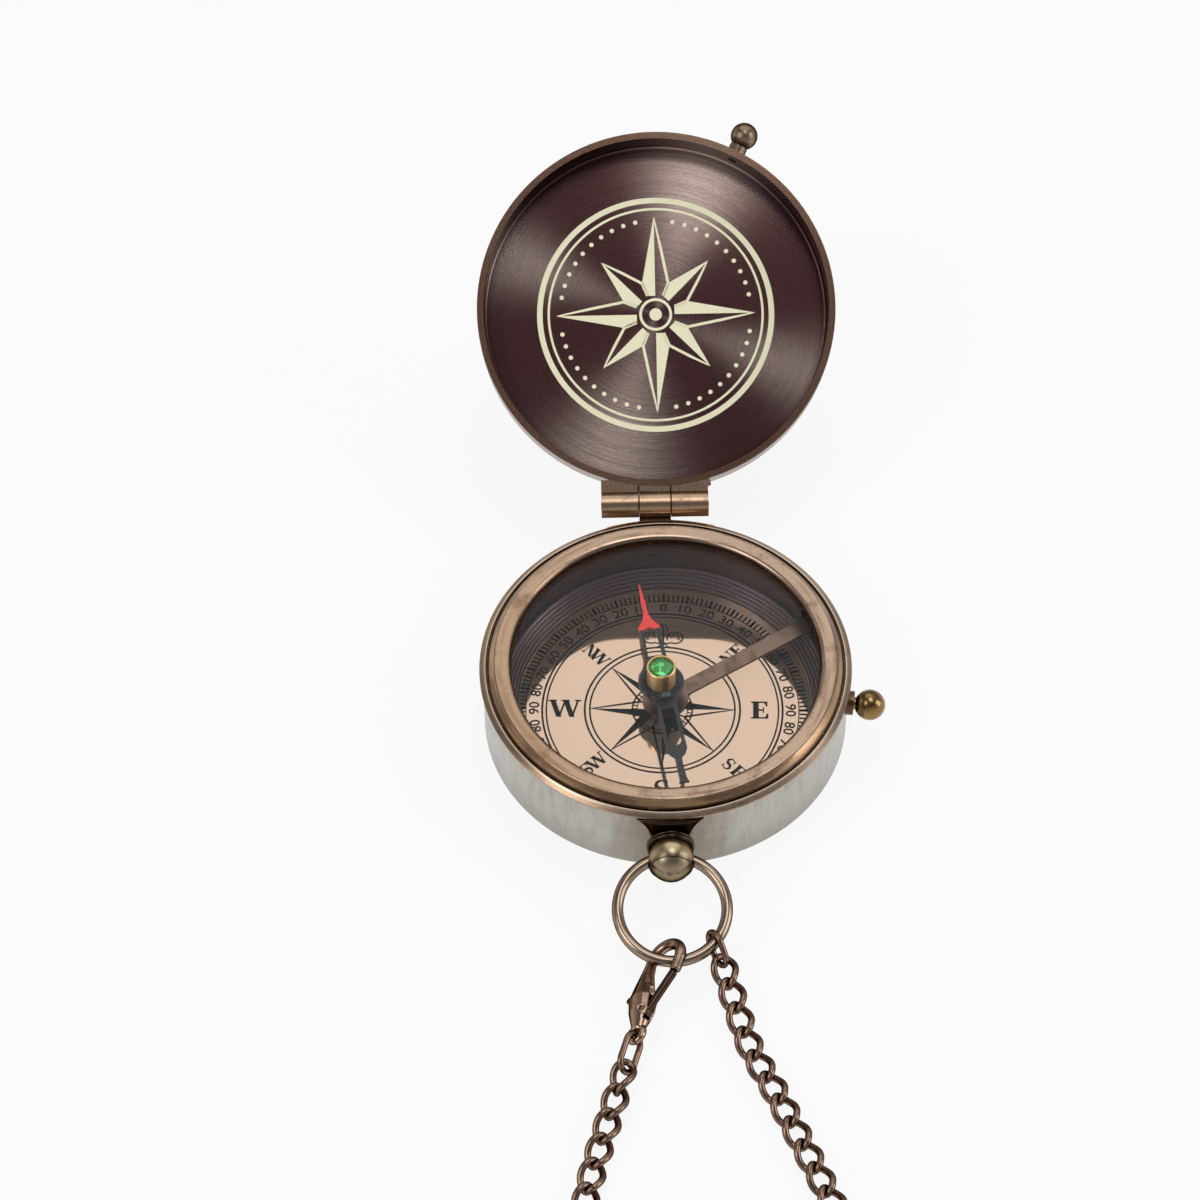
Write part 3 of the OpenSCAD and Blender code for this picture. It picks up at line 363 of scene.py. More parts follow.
@dataclass
class Graph:
    """Short ways to add nodes to a material's or a group's tree."""

    tree: bpy.types.NodeTree

    def add(self, kind: str, values: dict | None = None, **settings: object) -> Node:
        """A new node.

        Args:
            kind: the node's type name.
            values: number, colour or socket for each input, by name or number.
            settings: the node's own properties.

        Returns:
            The node.
        """
        node = self.tree.nodes.new(kind)
        for key, value in settings.items():
            setattr(node, key, value)
        for key, value in (values or {}).items():
            self.feed(node.inputs[key], value)
        return node

    def feed(self, socket: Socket, value: object) -> None:
        """Links a socket, or sets a plain value."""
        if isinstance(value, Socket):
            self.tree.links.new(value, socket)
        else:
            socket.default_value = value

    def set(self, shader: Node, **values: object) -> None:
        """Feeds a shader's inputs by name, with a low line for each space."""
        for key, value in values.items():
            self.feed(shader.inputs[key.replace("_", " ")], value)

    def math(self, kind: str, a: object, b: object = 0.0, clamp: bool = False) -> Socket:
        """A Math node's value."""
        return self.add("ShaderNodeMath", {0: a, 1: b}, operation=kind, use_clamp=clamp).outputs[0]

    def times(self, first: object, *others: object) -> Socket:
        """The product of two values or more."""
        for other in others:
            first = self.math("MULTIPLY", first, other)
        return first

    def plus(self, a: object, b: object, clamp: bool = False) -> Socket:
        """The sum of two values."""
        return self.math("ADD", a, b, clamp)

    def minus(self, a: object, b: object) -> Socket:
        """The first value less the second."""
        return self.math("SUBTRACT", a, b)

    def span(self, value: object, low: float, high: float, to_low: float = 0.0, to_high: float = 1.0) -> Socket:
        """A value mapped smoothly from one span to another, held at both ends."""
        ends = {"Value": value, "From Min": low, "From Max": high, "To Min": to_low, "To Max": to_high}
        node = self.add("ShaderNodeMapRange", ends)
        node.interpolation_type = "SMOOTHSTEP"
        return node.outputs[0]

    def zone(self, value: object, up: tuple, down: tuple) -> Socket:
        """One between two spans: it rises from 0 over the first and falls back over the second."""
        return self.times(self.span(value, *up), self.span(value, *down, 1.0, 0.0))

    def mix(self, share: object, a: object, b: object) -> Socket:
        """A colour between two."""
        return self.add("ShaderNodeMix", {0: share, 6: a, 7: b}, data_type="RGBA").outputs[2]

    def noise(self, vector: object, scale: object, detail: float, rough: float) -> Socket:
        """Noise from 0 to 1 at so many waves to the vector's unit."""
        values = {"Vector": vector, "Scale": scale, "Detail": detail, "Roughness": rough}
        return self.add("ShaderNodeTexNoise", values).outputs[0]

    def vector(self, x: object, y: object = 0.0, z: object = 0.0) -> Socket:
        """A vector of three values."""
        return self.add("ShaderNodeCombineXYZ", {0: x, 1: y, 2: z}).outputs[0]

    def parts(self, vector: object) -> list:
        """A vector's three values."""
        return self.add("ShaderNodeSeparateXYZ", {0: vector}).outputs

    def place(self) -> Socket:
        """The piece's own coordinates."""
        return self.add("ShaderNodeTexCoord").outputs["Object"]

    def mapped(self, vector: object, lay: Turn) -> Socket:
        """Coordinates moved so that a piece's own axis stands up at the origin."""
        values = {"Vector": vector, "Location": lay.location, "Rotation": lay.rotation}
        return self.add("ShaderNodeMapping", values).outputs[0]

    def group(self, tree: bpy.types.NodeTree, values: dict) -> bpy.types.bpy_prop_collection:
        """The outputs of a placed shader group."""
        node = self.tree.nodes.new("ShaderNodeGroup")
        node.node_tree = tree
        for key, value in values.items():
            self.feed(node.inputs[key], value)
        return node.outputs

    def mirrored(self, path: Node) -> Socket:
        """One for a ray that metal sends on and that hasn't just passed the crystal."""
        return self.times(path.outputs["Is Glossy Ray"], self.minus(1.0, path.outputs["Is Transmission Ray"]))

    def blend(self, share: object, shader: Node, other: Node) -> None:
        """Gives the surface a share of another shader."""
        both = self.add("ShaderNodeMixShader", {0: share, 1: shader.outputs[0], 2: other.outputs[0]})
        self.feed(self.tree.nodes["Material Output"].inputs["Surface"], both.outputs[0])


class Effects:
    """The shader groups that several finishes share, each built once."""

    def new(self, name: str, inputs: dict, outputs: list) -> tuple:
        """An empty group with its sockets.

        Args:
            name: the group's name.
            inputs: default for each input name; a tuple of three makes a vector socket.
            outputs: names of the value outputs.

        Returns:
            Graph of the group, its input sockets and its output sockets.
        """
        tree = bpy.data.node_groups.new(name, "ShaderNodeTree")
        for key, value in inputs.items():
            kind = "NodeSocketVector" if isinstance(value, tuple) else "NodeSocketFloat"
            socket = tree.interface.new_socket(key, in_out="INPUT", socket_type=kind)
            if not isinstance(value, tuple):
                socket.default_value = value
        for key in outputs:
            tree.interface.new_socket(key, in_out="OUTPUT", socket_type="NodeSocketFloat")
        graph = Graph(tree)
        return graph, graph.add("NodeGroupInput").outputs, graph.add("NodeGroupOutput").inputs

    @cached_property
    def polar(self) -> bpy.types.NodeTree:
        """Radius and height in millimetres and angle in turns, about Z."""
        g, start, end = self.new("polar_place", {"Place": (0, 0, 0)}, ["Radius", "Angle", "Height"])
        x, y, z = g.parts(start["Place"])
        square = g.plus(g.times(x, x), g.times(y, y))
        g.feed(end["Radius"], g.times(g.math("SQRT", square), 1 / MM))
        g.feed(end["Angle"], g.math("DIVIDE", g.math("ARCTAN2", y, x), TURN))
        g.feed(end["Height"], g.times(z, 1 / MM))
        return g.tree

    @cached_property
    def lines(self) -> bpy.types.NodeTree:
        """Turned lines: noise along one length, so that it is even round the piece, with a slow drift."""
        drift, detail, rough = 0.4, 4.0, 0.65
        g, start, end = self.new("turned_lines", {"Across": 0.0, "Turn": 0.0, "Per mm": 4.0}, ["Line"])
        wave = g.times(g.math("SINE", g.times(start["Turn"], TURN)), drift)
        vector = g.vector(g.times(start["Across"], start["Per mm"]), wave)
        g.feed(end["Line"], g.noise(vector, 1.0, detail, rough))
        return g.tree

    @cached_property
    def patina(self) -> bpy.types.NodeTree:
        """Blotches of tarnish, their soft edges broken by fine grain."""
        broad_share, least, reach, steep, rough = 0.75, 0.78, 0.5, 5.0, 0.6
        inputs = {"Place": (0, 0, 0), "Size": 1.0, "Amount": 0.5}
        g, start, end = self.new("patina", inputs, ["Mask", "Grain"])
        scaled = g.add("ShaderNodeVectorMath", {0: start["Place"], 3: start["Size"]}, operation="SCALE")
        broad = g.noise(scaled.outputs[0], 260.0, 4.0, rough)
        fine = g.noise(scaled.outputs[0], 2600.0, 3.0, rough)
        both = g.plus(g.times(broad, broad_share), g.times(fine, 1 - broad_share))
        low = g.minus(least, g.times(start["Amount"], reach))
        g.feed(end["Mask"], g.math("MULTIPLY", g.minus(both, low), steep, clamp=True))
        g.feed(end["Grain"], fine)
        return g.tree

    @cached_property
    def scratches(self) -> bpy.types.NodeTree:
        """Short hair scratches: thin ridges of two stretched noises that cross."""
        tilt, waves, half_width = (0.3, 0.2), 120.0, 0.006
        g, start, end = self.new("scratches", {"Place": (0, 0, 0), "Per mm": 1.0}, ["Mask"])
        marks = []
        for angle, stretch in ((0.5, 14.0), (-0.9, 11.0)):
            values = {"Vector": start["Place"], "Rotation": (*tilt, angle), "Scale": (1.0, stretch, stretch)}
            along = g.add("ShaderNodeMapping", values).outputs[0]
            wave = g.noise(along, g.times(start["Per mm"], waves), 1.0, 0.4)
            marks.append(g.span(g.math("ABSOLUTE", g.minus(wave, 0.5)), 0.0, half_width, 1.0, 0.0))
        g.feed(end["Mask"], g.math("MAXIMUM", *marks))
        return g.tree


EFFECTS = Effects()


def new_material(name: str) -> tuple:
    """An empty node material.

    Args:
        name: the finish's name.

    Returns:
        The material, the graph of its tree, and its Principled shader, already joined to the output.
    """
    material = bpy.data.materials.new(name)
    material.use_nodes = True
    material.node_tree.nodes.clear()
    g = Graph(material.node_tree)
    shader = g.add("ShaderNodeBsdfPrincipled")
    out = g.add("ShaderNodeOutputMaterial")
    out.name = "Material Output"
    g.feed(out.inputs["Surface"], shader.outputs[0])
    return material, g, shader


# Finishes


@dataclass(frozen=True)
class Metal:
    """A worn turned metal: two tones, turned lines, blotches of patina and hair scratches.

    light and dark are its tones, rough its roughness and spread how far that varies. lines is how strong the
    turned lines are, per_mm how many of them there are, and across which reading they run across. amount is
    how much patina covers it and size how fine that is, depth how deep the relief is in millimetres, and
    turn brings the piece's axis to Z. edge is how much painted shade darkens the tone where the surface turns
    away from the eye. Pieces under the crystal have no relief: seen through glass it breaks up into specks.
    """

    name: str
    light: tuple
    dark: tuple
    rough: float = 0.3
    spread: float = 0.12
    lines: float = 0.2
    per_mm: float = 5.0
    amount: float = 0.5
    size: float = 1.0
    depth: float = 0.004
    metallic: float = 1.0
    turn: Turn = Turn()
    across: Across = Across.HEIGHT
    # edge: the strength of the painted shade where the surface turns away from the eye.
    edge: float = 0.0
    patina_share: float = 0.75
    scratch_share: float = 0.35
    # The facing span over which the painted edge shade grows, and how dim its tone is.
    edge_facing: tuple = (0.25, 0.85)
    edge_tone: float = 0.2
    edge_gleam: tuple = (0.25, 0.22, 0.2, 1)
    relief: tuple = (2.0, 0.35, 0.2)
    relief_strength: float = 0.6

    def make(self) -> Material:
        """The material, with its Principled shader fed by the shared groups."""
        material, g, shader = new_material(self.name)
        place = g.mapped(g.place(), self.turn)
        polar = g.group(EFFECTS.polar, {"Place": place})
        values = {"Across": polar[self.across.value], "Turn": polar["Angle"], "Per mm": self.per_mm}
        line = g.group(EFFECTS.lines, values)["Line"]
        patina = g.group(EFFECTS.patina, {"Place": place, "Size": self.size, "Amount": self.amount})
        scratch = g.group(EFFECTS.scratches, {"Place": place})["Mask"]
        wash = g.plus(g.times(patina["Mask"], self.patina_share), g.times(line, self.lines), clamp=True)
        colour = self.tint(g, g.mix(wash, self.light, self.dark), polar)
        colour = g.mix(g.times(scratch, self.scratch_share), colour, self.light)
        # Painted shade: the tone darkens where the surface turns away from the eye, as a dark reflection would.
        if self.edge:
            facing = g.add("ShaderNodeLayerWeight", {"Blend": 0.5}).outputs["Facing"]
            away = g.times(g.span(facing, *self.edge_facing), self.edge)
            colour = g.mix(away, colour, dimmed(self.dark, self.edge_tone))
            g.set(shader, Specular_Tint=self.edge_gleam)
        uneven = g.times(g.plus(patina["Mask"], line), self.spread)
        rough = g.plus(self.rough - self.spread / 2, uneven)
        g.set(shader, Base_Color=colour, Roughness=rough, Metallic=self.shine(g, polar))
        if self.depth:
            line_rise, grain_rise, scratch_fall = self.relief
            height = g.plus(g.times(line, self.lines * line_rise), g.times(patina["Grain"], grain_rise))
            height = g.minus(height, g.times(scratch, scratch_fall))
            values = {"Height": height, "Strength": self.relief_strength, "Distance": self.depth * MM}
            g.set(shader, Normal=g.add("ShaderNodeBump", values).outputs[0])
        return material

    def tint(self, g: Graph, colour: Socket, polar: bpy.types.bpy_prop_collection) -> Socket:
        """The colour as it is; finishes that change it with place give their own."""
        return colour

    def shine(self, g: Graph, polar: bpy.types.bpy_prop_collection) -> Socket | float:
        """How metallic it is: one value, or a socket where it changes with place."""
        return self.metallic


@dataclass(frozen=True)
class BezelMetal(Metal):
    """Antique brass: mauve on the rim's top, golden brown on its slope, painted shade in the groove, at the rim's
    inner edge and on the underside, a painted highlight on the flange and a painted golden reflection on the left
    side.

    The zones are radii in millimetres.
    """

    gold: tuple = tone(168, 134, 94)
    shade: tuple = tone(112, 84, 62)
    # The painted shade's dark, for the groove, the rim's inner edge and the underside.
    dim: tuple = tone(46, 29, 19)
    # bright: the painted highlight along the flange's crest.
    bright: tuple = tone(232, 214, 190)
    inner: tuple = (22.45, 22.8)
    slope: tuple = ((24.7, 24.95), (25.75, 25.85))
    groove: tuple = ((25.5, 25.7), (26.08, 26.16))
    flange: tuple = ((26.1, 26.2), (26.3, 26.55))
    below: tuple = (24.5, 25.0)
    # The bearing, in radians, that the painted golden reflection on the left side faces.
    gold_side: float = 3.3
    arc_shape: tuple = (0.9, 2.2)

    def tint(self, g: Graph, colour: Socket, polar: bpy.types.bpy_prop_collection) -> Socket:
        """Arc streaks, a painted golden reflection on the left side, then bands by the radius, with painted
        highlight and painted shade; painted shade on the underside.
        """
        r, angle = polar["Radius"], g.times(polar["Angle"], TURN)
        # Painted reflection: a golden sheen on the left side, by the angle round the bezel.
        left = g.span(g.math("COSINE", g.minus(angle, self.gold_side)), 0.0, 1.0)
        across, round_it = self.arc_shape
        x, y = (g.times(g.math(kind, angle), round_it) for kind in ("COSINE", "SINE"))
        arcs = g.noise(g.vector(g.times(r, across), x, y), 1.0, 3.0, 0.55)
        colour = g.mix(g.span(arcs, 0.46, 0.7, 0.0, 0.6), colour, self.shade)
        colour = g.mix(g.times(left, 0.35), colour, self.gold)
        streaked = g.mix(g.span(arcs, 0.42, 0.56), self.gold, self.shade)
        colour = g.mix(g.times(g.zone(r, *self.slope), 0.75), colour, streaked)
        # Painted highlight: a pale band along the flange's crest, where it catches the light.
        colour = g.mix(g.times(g.zone(r, *self.flange), 0.55), colour, self.bright)
        # Painted shade at the rim's inner edge.
        colour = g.mix(g.times(g.span(r, *self.inner, 1.0, 0.0), 0.85), colour, self.dim)
        # Painted shade on the underside, where the surface faces down.
        up = g.parts(g.add("ShaderNodeTexCoord").outputs["Normal"])[2]
        under = g.times(g.span(up, -0.3, 0.1, 1.0, 0.0), g.span(r, *self.below, 1.0, 0.0))
        colour = g.mix(under, colour, dimmed(self.dim, 0.3))
        # Painted shade in the groove.
        return g.mix(g.times(g.zone(r, *self.groove), 0.9), colour, self.dim)


@dataclass(frozen=True)
class StepMetal(Metal):
    """Dark polished copper of the dial ring, with a painted highlight along each turned ridge's edge."""

    slope: tuple = (2.95, 5.05)
    steps: int = 5
    lead: float = 0.03
    # ridge: the colour of the painted highlight along the ridges' edges.
    ridge: tuple = tone(168, 146, 140)
    mirror: float = 0.9

    def edges(self, g: Graph, polar: bpy.types.bpy_prop_collection) -> Socket:
        """Where a ridge's edge is: near the end of each step's share of the height, on the slope alone.

        The plate's mirror image of the ring goes without, as the edges are too fine there and turn to grain.
        """
        z, (low, high) = polar["Height"], self.slope
        share = g.math("FRACT", g.math("DIVIDE", g.minus(z, low - self.lead), (high - low) / self.steps))
        line = g.zone(share, (0.66, 0.8), (0.9, 1.0))
        half = g.times(g.span(share, 0.2, 0.3), g.span(share, 0.36, 0.44, 0.6, 0.0))
        on_slope = g.zone(z, (low - 0.05, low + 0.05), (high + 0.15, high + 0.25))
        straight = g.minus(1.0, g.mirrored(g.add("ShaderNodeLightPath")))
        return g.times(g.plus(line, half, clamp=True), g.times(on_slope, straight))

    def tint(self, g: Graph, colour: Socket, polar: bpy.types.bpy_prop_collection) -> Socket:
        """A painted highlight line at each ridge."""
        # Painted highlight: the ridges' edges lighten towards the ridge tone.
        return g.mix(g.times(self.edges(g, polar), 0.8), colour, self.ridge)

    def shine(self, g: Graph, polar: bpy.types.bpy_prop_collection) -> Socket:
        """Less mirror on the ridges, which scatter the light."""
        return g.minus(self.mirror, g.times(self.edges(g, polar), 0.75))


@dataclass(frozen=True)
class LidMetal(Metal):
    """Dark metal brushed in circles, with painted highlights in pairs of opposite wedges through the middle,
    where light would lie on it, and painted shade in the corner round the floor.

    A painted highlight wedge is its bearing in degrees, its sharpness and its strength; the zones are radii in
    millimetres.
    """

    # glow: the colour of the painted highlight wedges.
    glow: tuple = tone(232, 208, 196)
    rim_tone: tuple = tone(132, 102, 84)
    # black: the painted shade in the corner round the floor.
    black: tuple = tone(26, 12, 14)
    wedges: tuple = ((-72.0, 16.0, 0.95), (23.0, 40.0, 0.6))
    fine_per_mm: float = 9.0
    floor: tuple = (0.0, 22.0)
    corner: tuple = (24.9, 25.9)
    rim_at: tuple = (26.0, 26.08)

    def wedge(self, g: Graph, angle: Socket, bearing: float, power: float, strength: float) -> Socket:
        """Two opposite painted highlight wedges: the size of the cosine of the angle from the bearing, to a
        power.
        """
        off = g.math("COSINE", g.minus(g.times(angle, TURN), math.radians(bearing)))
        return g.times(g.math("POWER", g.math("ABSOLUTE", off), power), strength)

    def tint(self, g: Graph, colour: Socket, polar: bpy.types.bpy_prop_collection) -> Socket:
        """Two pairs of painted highlight wedges broken by the turned lines, painted shade in the corner round the
        floor, and a bronze rim.
        """
        r, angle = polar["Radius"], polar["Angle"]
        values = {"Across": r, "Turn": angle, "Per mm": self.fine_per_mm}
        fine = g.group(EFFECTS.lines, values)["Line"]
        wide, thin = (self.wedge(g, angle, *wedge) for wedge in self.wedges)
        # Painted highlight: the wedges, broken by the turned lines and fainter towards the middle.
        light = g.math("MULTIPLY", g.plus(wide, thin), g.span(fine, 0.3, 0.7, 0.6, 1.0), clamp=True)
        colour = g.mix(g.times(light, g.span(r, *self.floor, 0.3, 1.0)), colour, self.glow)
        # Painted shade in the corner where the floor meets the wall.
        colour = g.mix(g.times(g.span(r, *self.corner), 0.5), colour, self.black)
        return g.mix(g.times(g.span(r, *self.rim_at), 0.85), colour, self.rim_tone)


@dataclass(frozen=True)
class WallMetal(Metal):
    """Pale grey case wall, with brown tarnish and painted shadow beside the pendant, and painted shade under the
    flange.
    """

    # tarnish: brown for the tarnish and painted shadow by the pendant, and for the painted shade under the
    # flange.
    tarnish: tuple = tone(112, 94, 76)
    dull: tuple = tone(122, 116, 104)
    flare: tuple = (0.0, -26.6, 7.2)
    # How far from the pendant's foot the tarnish and painted shadow reach, in millimetres.
    stain: tuple = (3.5, 11.5)
    ragged: float = 5.0
    brush_shape: tuple = (150.0, 0.15)
    low_part: tuple = (0.0, 7.0)
    # Heights of the painted shade under the flange, in millimetres.
    top_part: tuple = (11.2, 12.1)

    def tint(self, g: Graph, colour: Socket, polar: bpy.types.bpy_prop_collection) -> Socket:
        """Upright brush streaks, duller low down, brown tarnish and painted shadow near the pendant's foot, and
        painted shade under the flange.
        """
        place, z = g.place(), polar["Height"]
        foot = tuple(v * MM for v in self.flare)
        away = g.add("ShaderNodeVectorMath", {0: place, 1: foot}, operation="DISTANCE").outputs["Value"]
        grain = g.times(g.minus(g.noise(place, 300.0, 3.0, 0.5), 0.5), self.ragged * MM)
        near = g.span(g.plus(away, grain), *(v * MM for v in self.stain), 1.0, 0.0)
        round_it, up = self.brush_shape
        brush = g.noise(g.vector(g.times(polar["Angle"], round_it), g.times(z, up)), 1.0, 4.0, 0.65)
        colour = g.mix(g.span(brush, 0.4, 0.75, 0.0, 0.35), colour, self.dull)
        colour = g.mix(g.span(z, *self.low_part, 0.4, 0.0), colour, self.dull)
        # Tarnish and painted shadow round the pendant's foot.
        colour = g.mix(g.times(near, 0.7), colour, self.tarnish)
        # Painted shade at the top of the wall, under the flange.
        return g.mix(g.span(z, *self.top_part, 0.0, 0.45), colour, self.tarnish)


@dataclass(frozen=True)
class GiltMetal(Metal):
    """Bright gilding of the cap, with upright streaks: painted highlights of pale gold to the sides and a painted
    brown reflection in front.

    The streaks lie between angles in turns from +X.
    """

    # pale: the painted highlights' gold; brown: the painted reflection in front and the streaks' tone.
    pale: tuple = tone(255, 226, 166)
    brown: tuple = tone(112, 70, 40)
    front: tuple = ((-0.27, -0.21), (-0.2, -0.13))
    sides: tuple = (((-0.42, -0.36), (-0.34, -0.29)), ((-0.12, -0.08), (-0.05, -0.02)))
    per_turn: float = 40.0

    def tint(self, g: Graph, colour: Socket, polar: bpy.types.bpy_prop_collection) -> Socket:
        """Painted highlights and a painted reflection by the angle round the cap, and brown streaks of tone."""
        turn = polar["Angle"]
        streaks = g.noise(g.vector(g.times(turn, self.per_turn)), 1.0, 2.0, 0.6)
        sides = g.math("MAXIMUM", *(g.zone(turn, *side) for side in self.sides))
        # Painted highlights: pale gold to the sides.
        colour = g.mix(g.times(sides, 0.9), colour, self.pale)
        # Painted reflection: a brown streak in front.
        colour = g.mix(g.times(g.zone(turn, *self.front), 0.85), colour, self.brown)
        return g.mix(g.span(streaks, 0.5, 0.75, 0.0, 0.4), colour, self.brown)


@dataclass(frozen=True)
class StripMetal(Metal):
    """Dull strip that the plate below doesn't mirror: the real one lies too low for its image to part from it."""

    def make(self) -> Material:
        """The metal, clear to mirrored rays."""
        material = Metal.make(self)
        g = Graph(material.node_tree)
        shader = material.node_tree.nodes["Material Output"].inputs["Surface"].links[0].from_node
        mirrored = g.mirrored(g.add("ShaderNodeLightPath"))
        g.blend(mirrored, shader, g.add("ShaderNodeBsdfTransparent"))
        return material


@dataclass(frozen=True)
class BallMetal(Metal):
    """Antique brass of the pendant's ball, dark where it meets the split line."""

    split: float = -31.95
    fade: float = 1.1
    black: tuple = tone(44, 30, 18)

    def tint(self, g: Graph, colour: Socket, polar: bpy.types.bpy_prop_collection) -> Socket:
        """A dark band that fades away from the split, by the height along the pendant."""
        dark = g.span(polar["Height"], self.split, self.split + self.fade, 0.85, 0.0)
        return g.mix(dark, colour, self.black)


@dataclass(frozen=True)
class HingeMetal(Metal):
    """Antique brass of the hinge, black in the seams between its knuckles."""

    seams: tuple = (-2.4, 2.4)
    seam_width: tuple = (0.07, 0.17)
    knuckle: tuple = (1.0, 1.1)
    black: tuple = tone(20, 12, 8)

    def tint(self, g: Graph, colour: Socket, polar: bpy.types.bpy_prop_collection) -> Socket:
        """A thin dark band at each seam, by the height along the pin."""
        for seam in self.seams:
            off = g.math("ABSOLUTE", g.minus(polar["Height"], seam))
            dark = g.times(g.span(off, *self.seam_width, 0.95, 0.0), g.span(polar["Radius"], *self.knuckle))
            colour = g.mix(dark, colour, self.black)
        return colour


@dataclass(frozen=True)
class MirrorPlate:
    """The dial's polished pale copper, with faint hairlines and a few dull specks.

    Its mirror bends down at the back: there its normal leans back by the place's distance over bend, less
    to both sides, and nothing at bend_side. It also waves a little, by wave at most to each side.
    """

    name: str
    light: tuple
    dull: tuple
    rough: float = 0.05
    hair: float = 0.05
    metallic: float = 0.8
    bend: float = 260.0
    bend_side: tuple = (2.0, 13.0)
    wave: float = 0.02
    waves: tuple = (90.0, 130.0)
    dull_rough: float = 0.5

    def normal(self, g: Graph, place: Socket) -> Socket:
        """The bent and waving normal."""
        x, y, _ = g.parts(place)
        near, far = (v * MM for v in self.bend_side)
        middle = g.span(g.math("ABSOLUTE", x), near, far, 1.0, 0.0)
        back = g.math("DIVIDE", g.math("MAXIMUM", y, 0.0), self.bend * MM)
        wave_x, wave_y = (g.times(g.minus(g.noise(place, n, 1.0, 0.4), 0.5), self.wave) for n in self.waves)
        lean = g.vector(wave_x, g.plus(wave_y, g.times(back, middle)), 1.0)
        return g.add("ShaderNodeVectorMath", {0: lean}, operation="NORMALIZE").outputs[0]

    def make(self) -> Material:
        """The material: near mirror, hair scratches lift its roughness.

        It is dull to rays that the ring sends down, which would otherwise find the lamps as specks.
        """
        material, g, shader = new_material(self.name)
        place = g.place()
        specks = g.group(EFFECTS.patina, {"Place": place, "Size": 0.6, "Amount": 0.3})["Mask"]
        scratch = g.group(EFFECTS.scratches, {"Place": place, "Per mm": 1.6})["Mask"]
        sent_down = g.mirrored(g.add("ShaderNodeLightPath"))
        rough = g.plus(g.plus(self.rough, g.times(scratch, self.hair)), g.times(sent_down, self.dull_rough))
        colour = g.mix(g.times(specks, 0.35), self.light, self.dull)
        g.set(shader, Base_Color=colour, Roughness=rough, Metallic=self.metallic, Normal=self.normal(g, place))
        return material


@dataclass(frozen=True)
class Lacquer:
    """Glossy black of the needle, worn a little grey, and its north arrow red."""

    name: str
    black: tuple
    red: tuple
    centre: tuple
    bearing: float
    red_from: float
    soft: float = 0.15
    worn: tuple = tone(44, 50, 54)
    warm: tuple = tone(255, 70, 62)

    def make(self) -> Material:
        """The material: red past a length along the needle, specks, and roughness that varies with the grain."""
        material, g, shader = new_material(self.name)
        place = g.mapped(g.place(), Turn(self.centre, (0, 0, -self.bearing)))
        along = g.times(g.parts(place)[1], 1 / MM)
        patina = g.group(EFFECTS.patina, {"Place": place, "Size": 1.5, "Amount": 0.45})
        base = g.mix(g.times(patina["Mask"], 0.35), self.black, self.worn)
        arrow = g.mix(patina["Grain"], self.red, self.warm)
        north = g.span(along, self.red_from - self.soft, self.red_from + self.soft)
        g.set(shader, Base_Color=g.mix(north, base, arrow))
        g.set(shader, Roughness=g.plus(0.2, g.times(patina["Grain"], 0.15)))
        g.set(shader, Specular_IOR_Level=0.35, Coat_Weight=0.15, Coat_Roughness=0.05)
        return material


@dataclass(frozen=True)
class PrintInk:
    """Printed ink or engraved filling, a little uneven."""

    name: str
    tone_a: tuple
    tone_b: tuple
    rough: float
    gloss: float

    def make(self) -> Material:
        """The material: two near tones mixed by grain."""
        material, g, shader = new_material(self.name)
        patina = g.group(EFFECTS.patina, {"Place": g.place()})
        rough = g.plus(self.rough, g.times(patina["Mask"], 0.1))
        colour = g.mix(patina["Grain"], self.tone_a, self.tone_b)
        g.set(shader, Base_Color=colour, Roughness=rough, Specular_IOR_Level=self.gloss)
        return material


@dataclass(frozen=True)
class Glass:
    """Clear crystal that lets the lamps' light through to the dial."""

    name: str

    def make(self) -> Material:
        """The material: glass for what is seen through it, clear for shadows and for rays from metal below."""
        material, g, shader = new_material(self.name)
        g.set(shader, Base_Color=(1, 1, 1, 1), Transmission_Weight=1.0, IOR=1.2, Roughness=0.0)
        path = g.add("ShaderNodeLightPath")
        clear = g.math("MAXIMUM", path.outputs["Is Shadow Ray"], path.outputs["Is Diffuse Ray"])
        through = g.math("MAXIMUM", clear, g.mirrored(path))
        g.blend(through, shader, g.add("ShaderNodeBsdfTransparent"))
        return material


@dataclass(frozen=True)
class CutStone:
    """Green foiled stone: painted sparkle on bright facet cells, over darker rays towards its middle."""

    name: str
    centre: tuple
    light: tuple
    deep: tuple
    cells_per_m: float = 1500.0
    rays: int = 16
    girdle: tuple = (1.2, 1.5)

    def make(self) -> Material:
        """The material: painted sparkle in bright cells, and rays, over deep green, darker at the girdle."""
        material, g, shader = new_material(self.name)
        place = g.mapped(g.place(), Turn(self.centre))
        polar = g.group(EFFECTS.polar, {"Place": place})
        # Painted sparkle: random facet cells lit bright.
        cells = g.add("ShaderNodeTexVoronoi", {"Vector": place, "Scale": self.cells_per_m})
        painted_sparkle = g.add("ShaderNodeSeparateColor", {0: cells.outputs["Color"]}).outputs[0]
        ray = g.math("ABSOLUTE", g.math("SINE", g.times(polar["Angle"], self.rays * math.pi)))
        mask = g.plus(g.times(g.span(painted_sparkle, 0.45, 0.9), 0.75), g.times(ray, 0.25), clamp=True)
        edge = g.span(polar["Radius"], *self.girdle, 1.0, 0.45)
        g.set(shader, Base_Color=g.mix(g.times(mask, edge), self.deep, self.light))
        g.set(shader, Roughness=g.plus(0.06, g.times(ray, 0.08)), Metallic=0.15)
        g.set(shader, Coat_Weight=0.6, Coat_Roughness=0.02)
        return material


def dress(finish: Material, *nodes: str) -> None:
    """Gives CAD nodes one finish in every slot.

    Args:
        finish: the material.
        nodes: the nodes' names.
    """
    for name in nodes:
        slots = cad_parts[name].data.materials
        if not slots:
            slots.append(finish)
        for k in range(len(slots)):
            slots[k] = finish


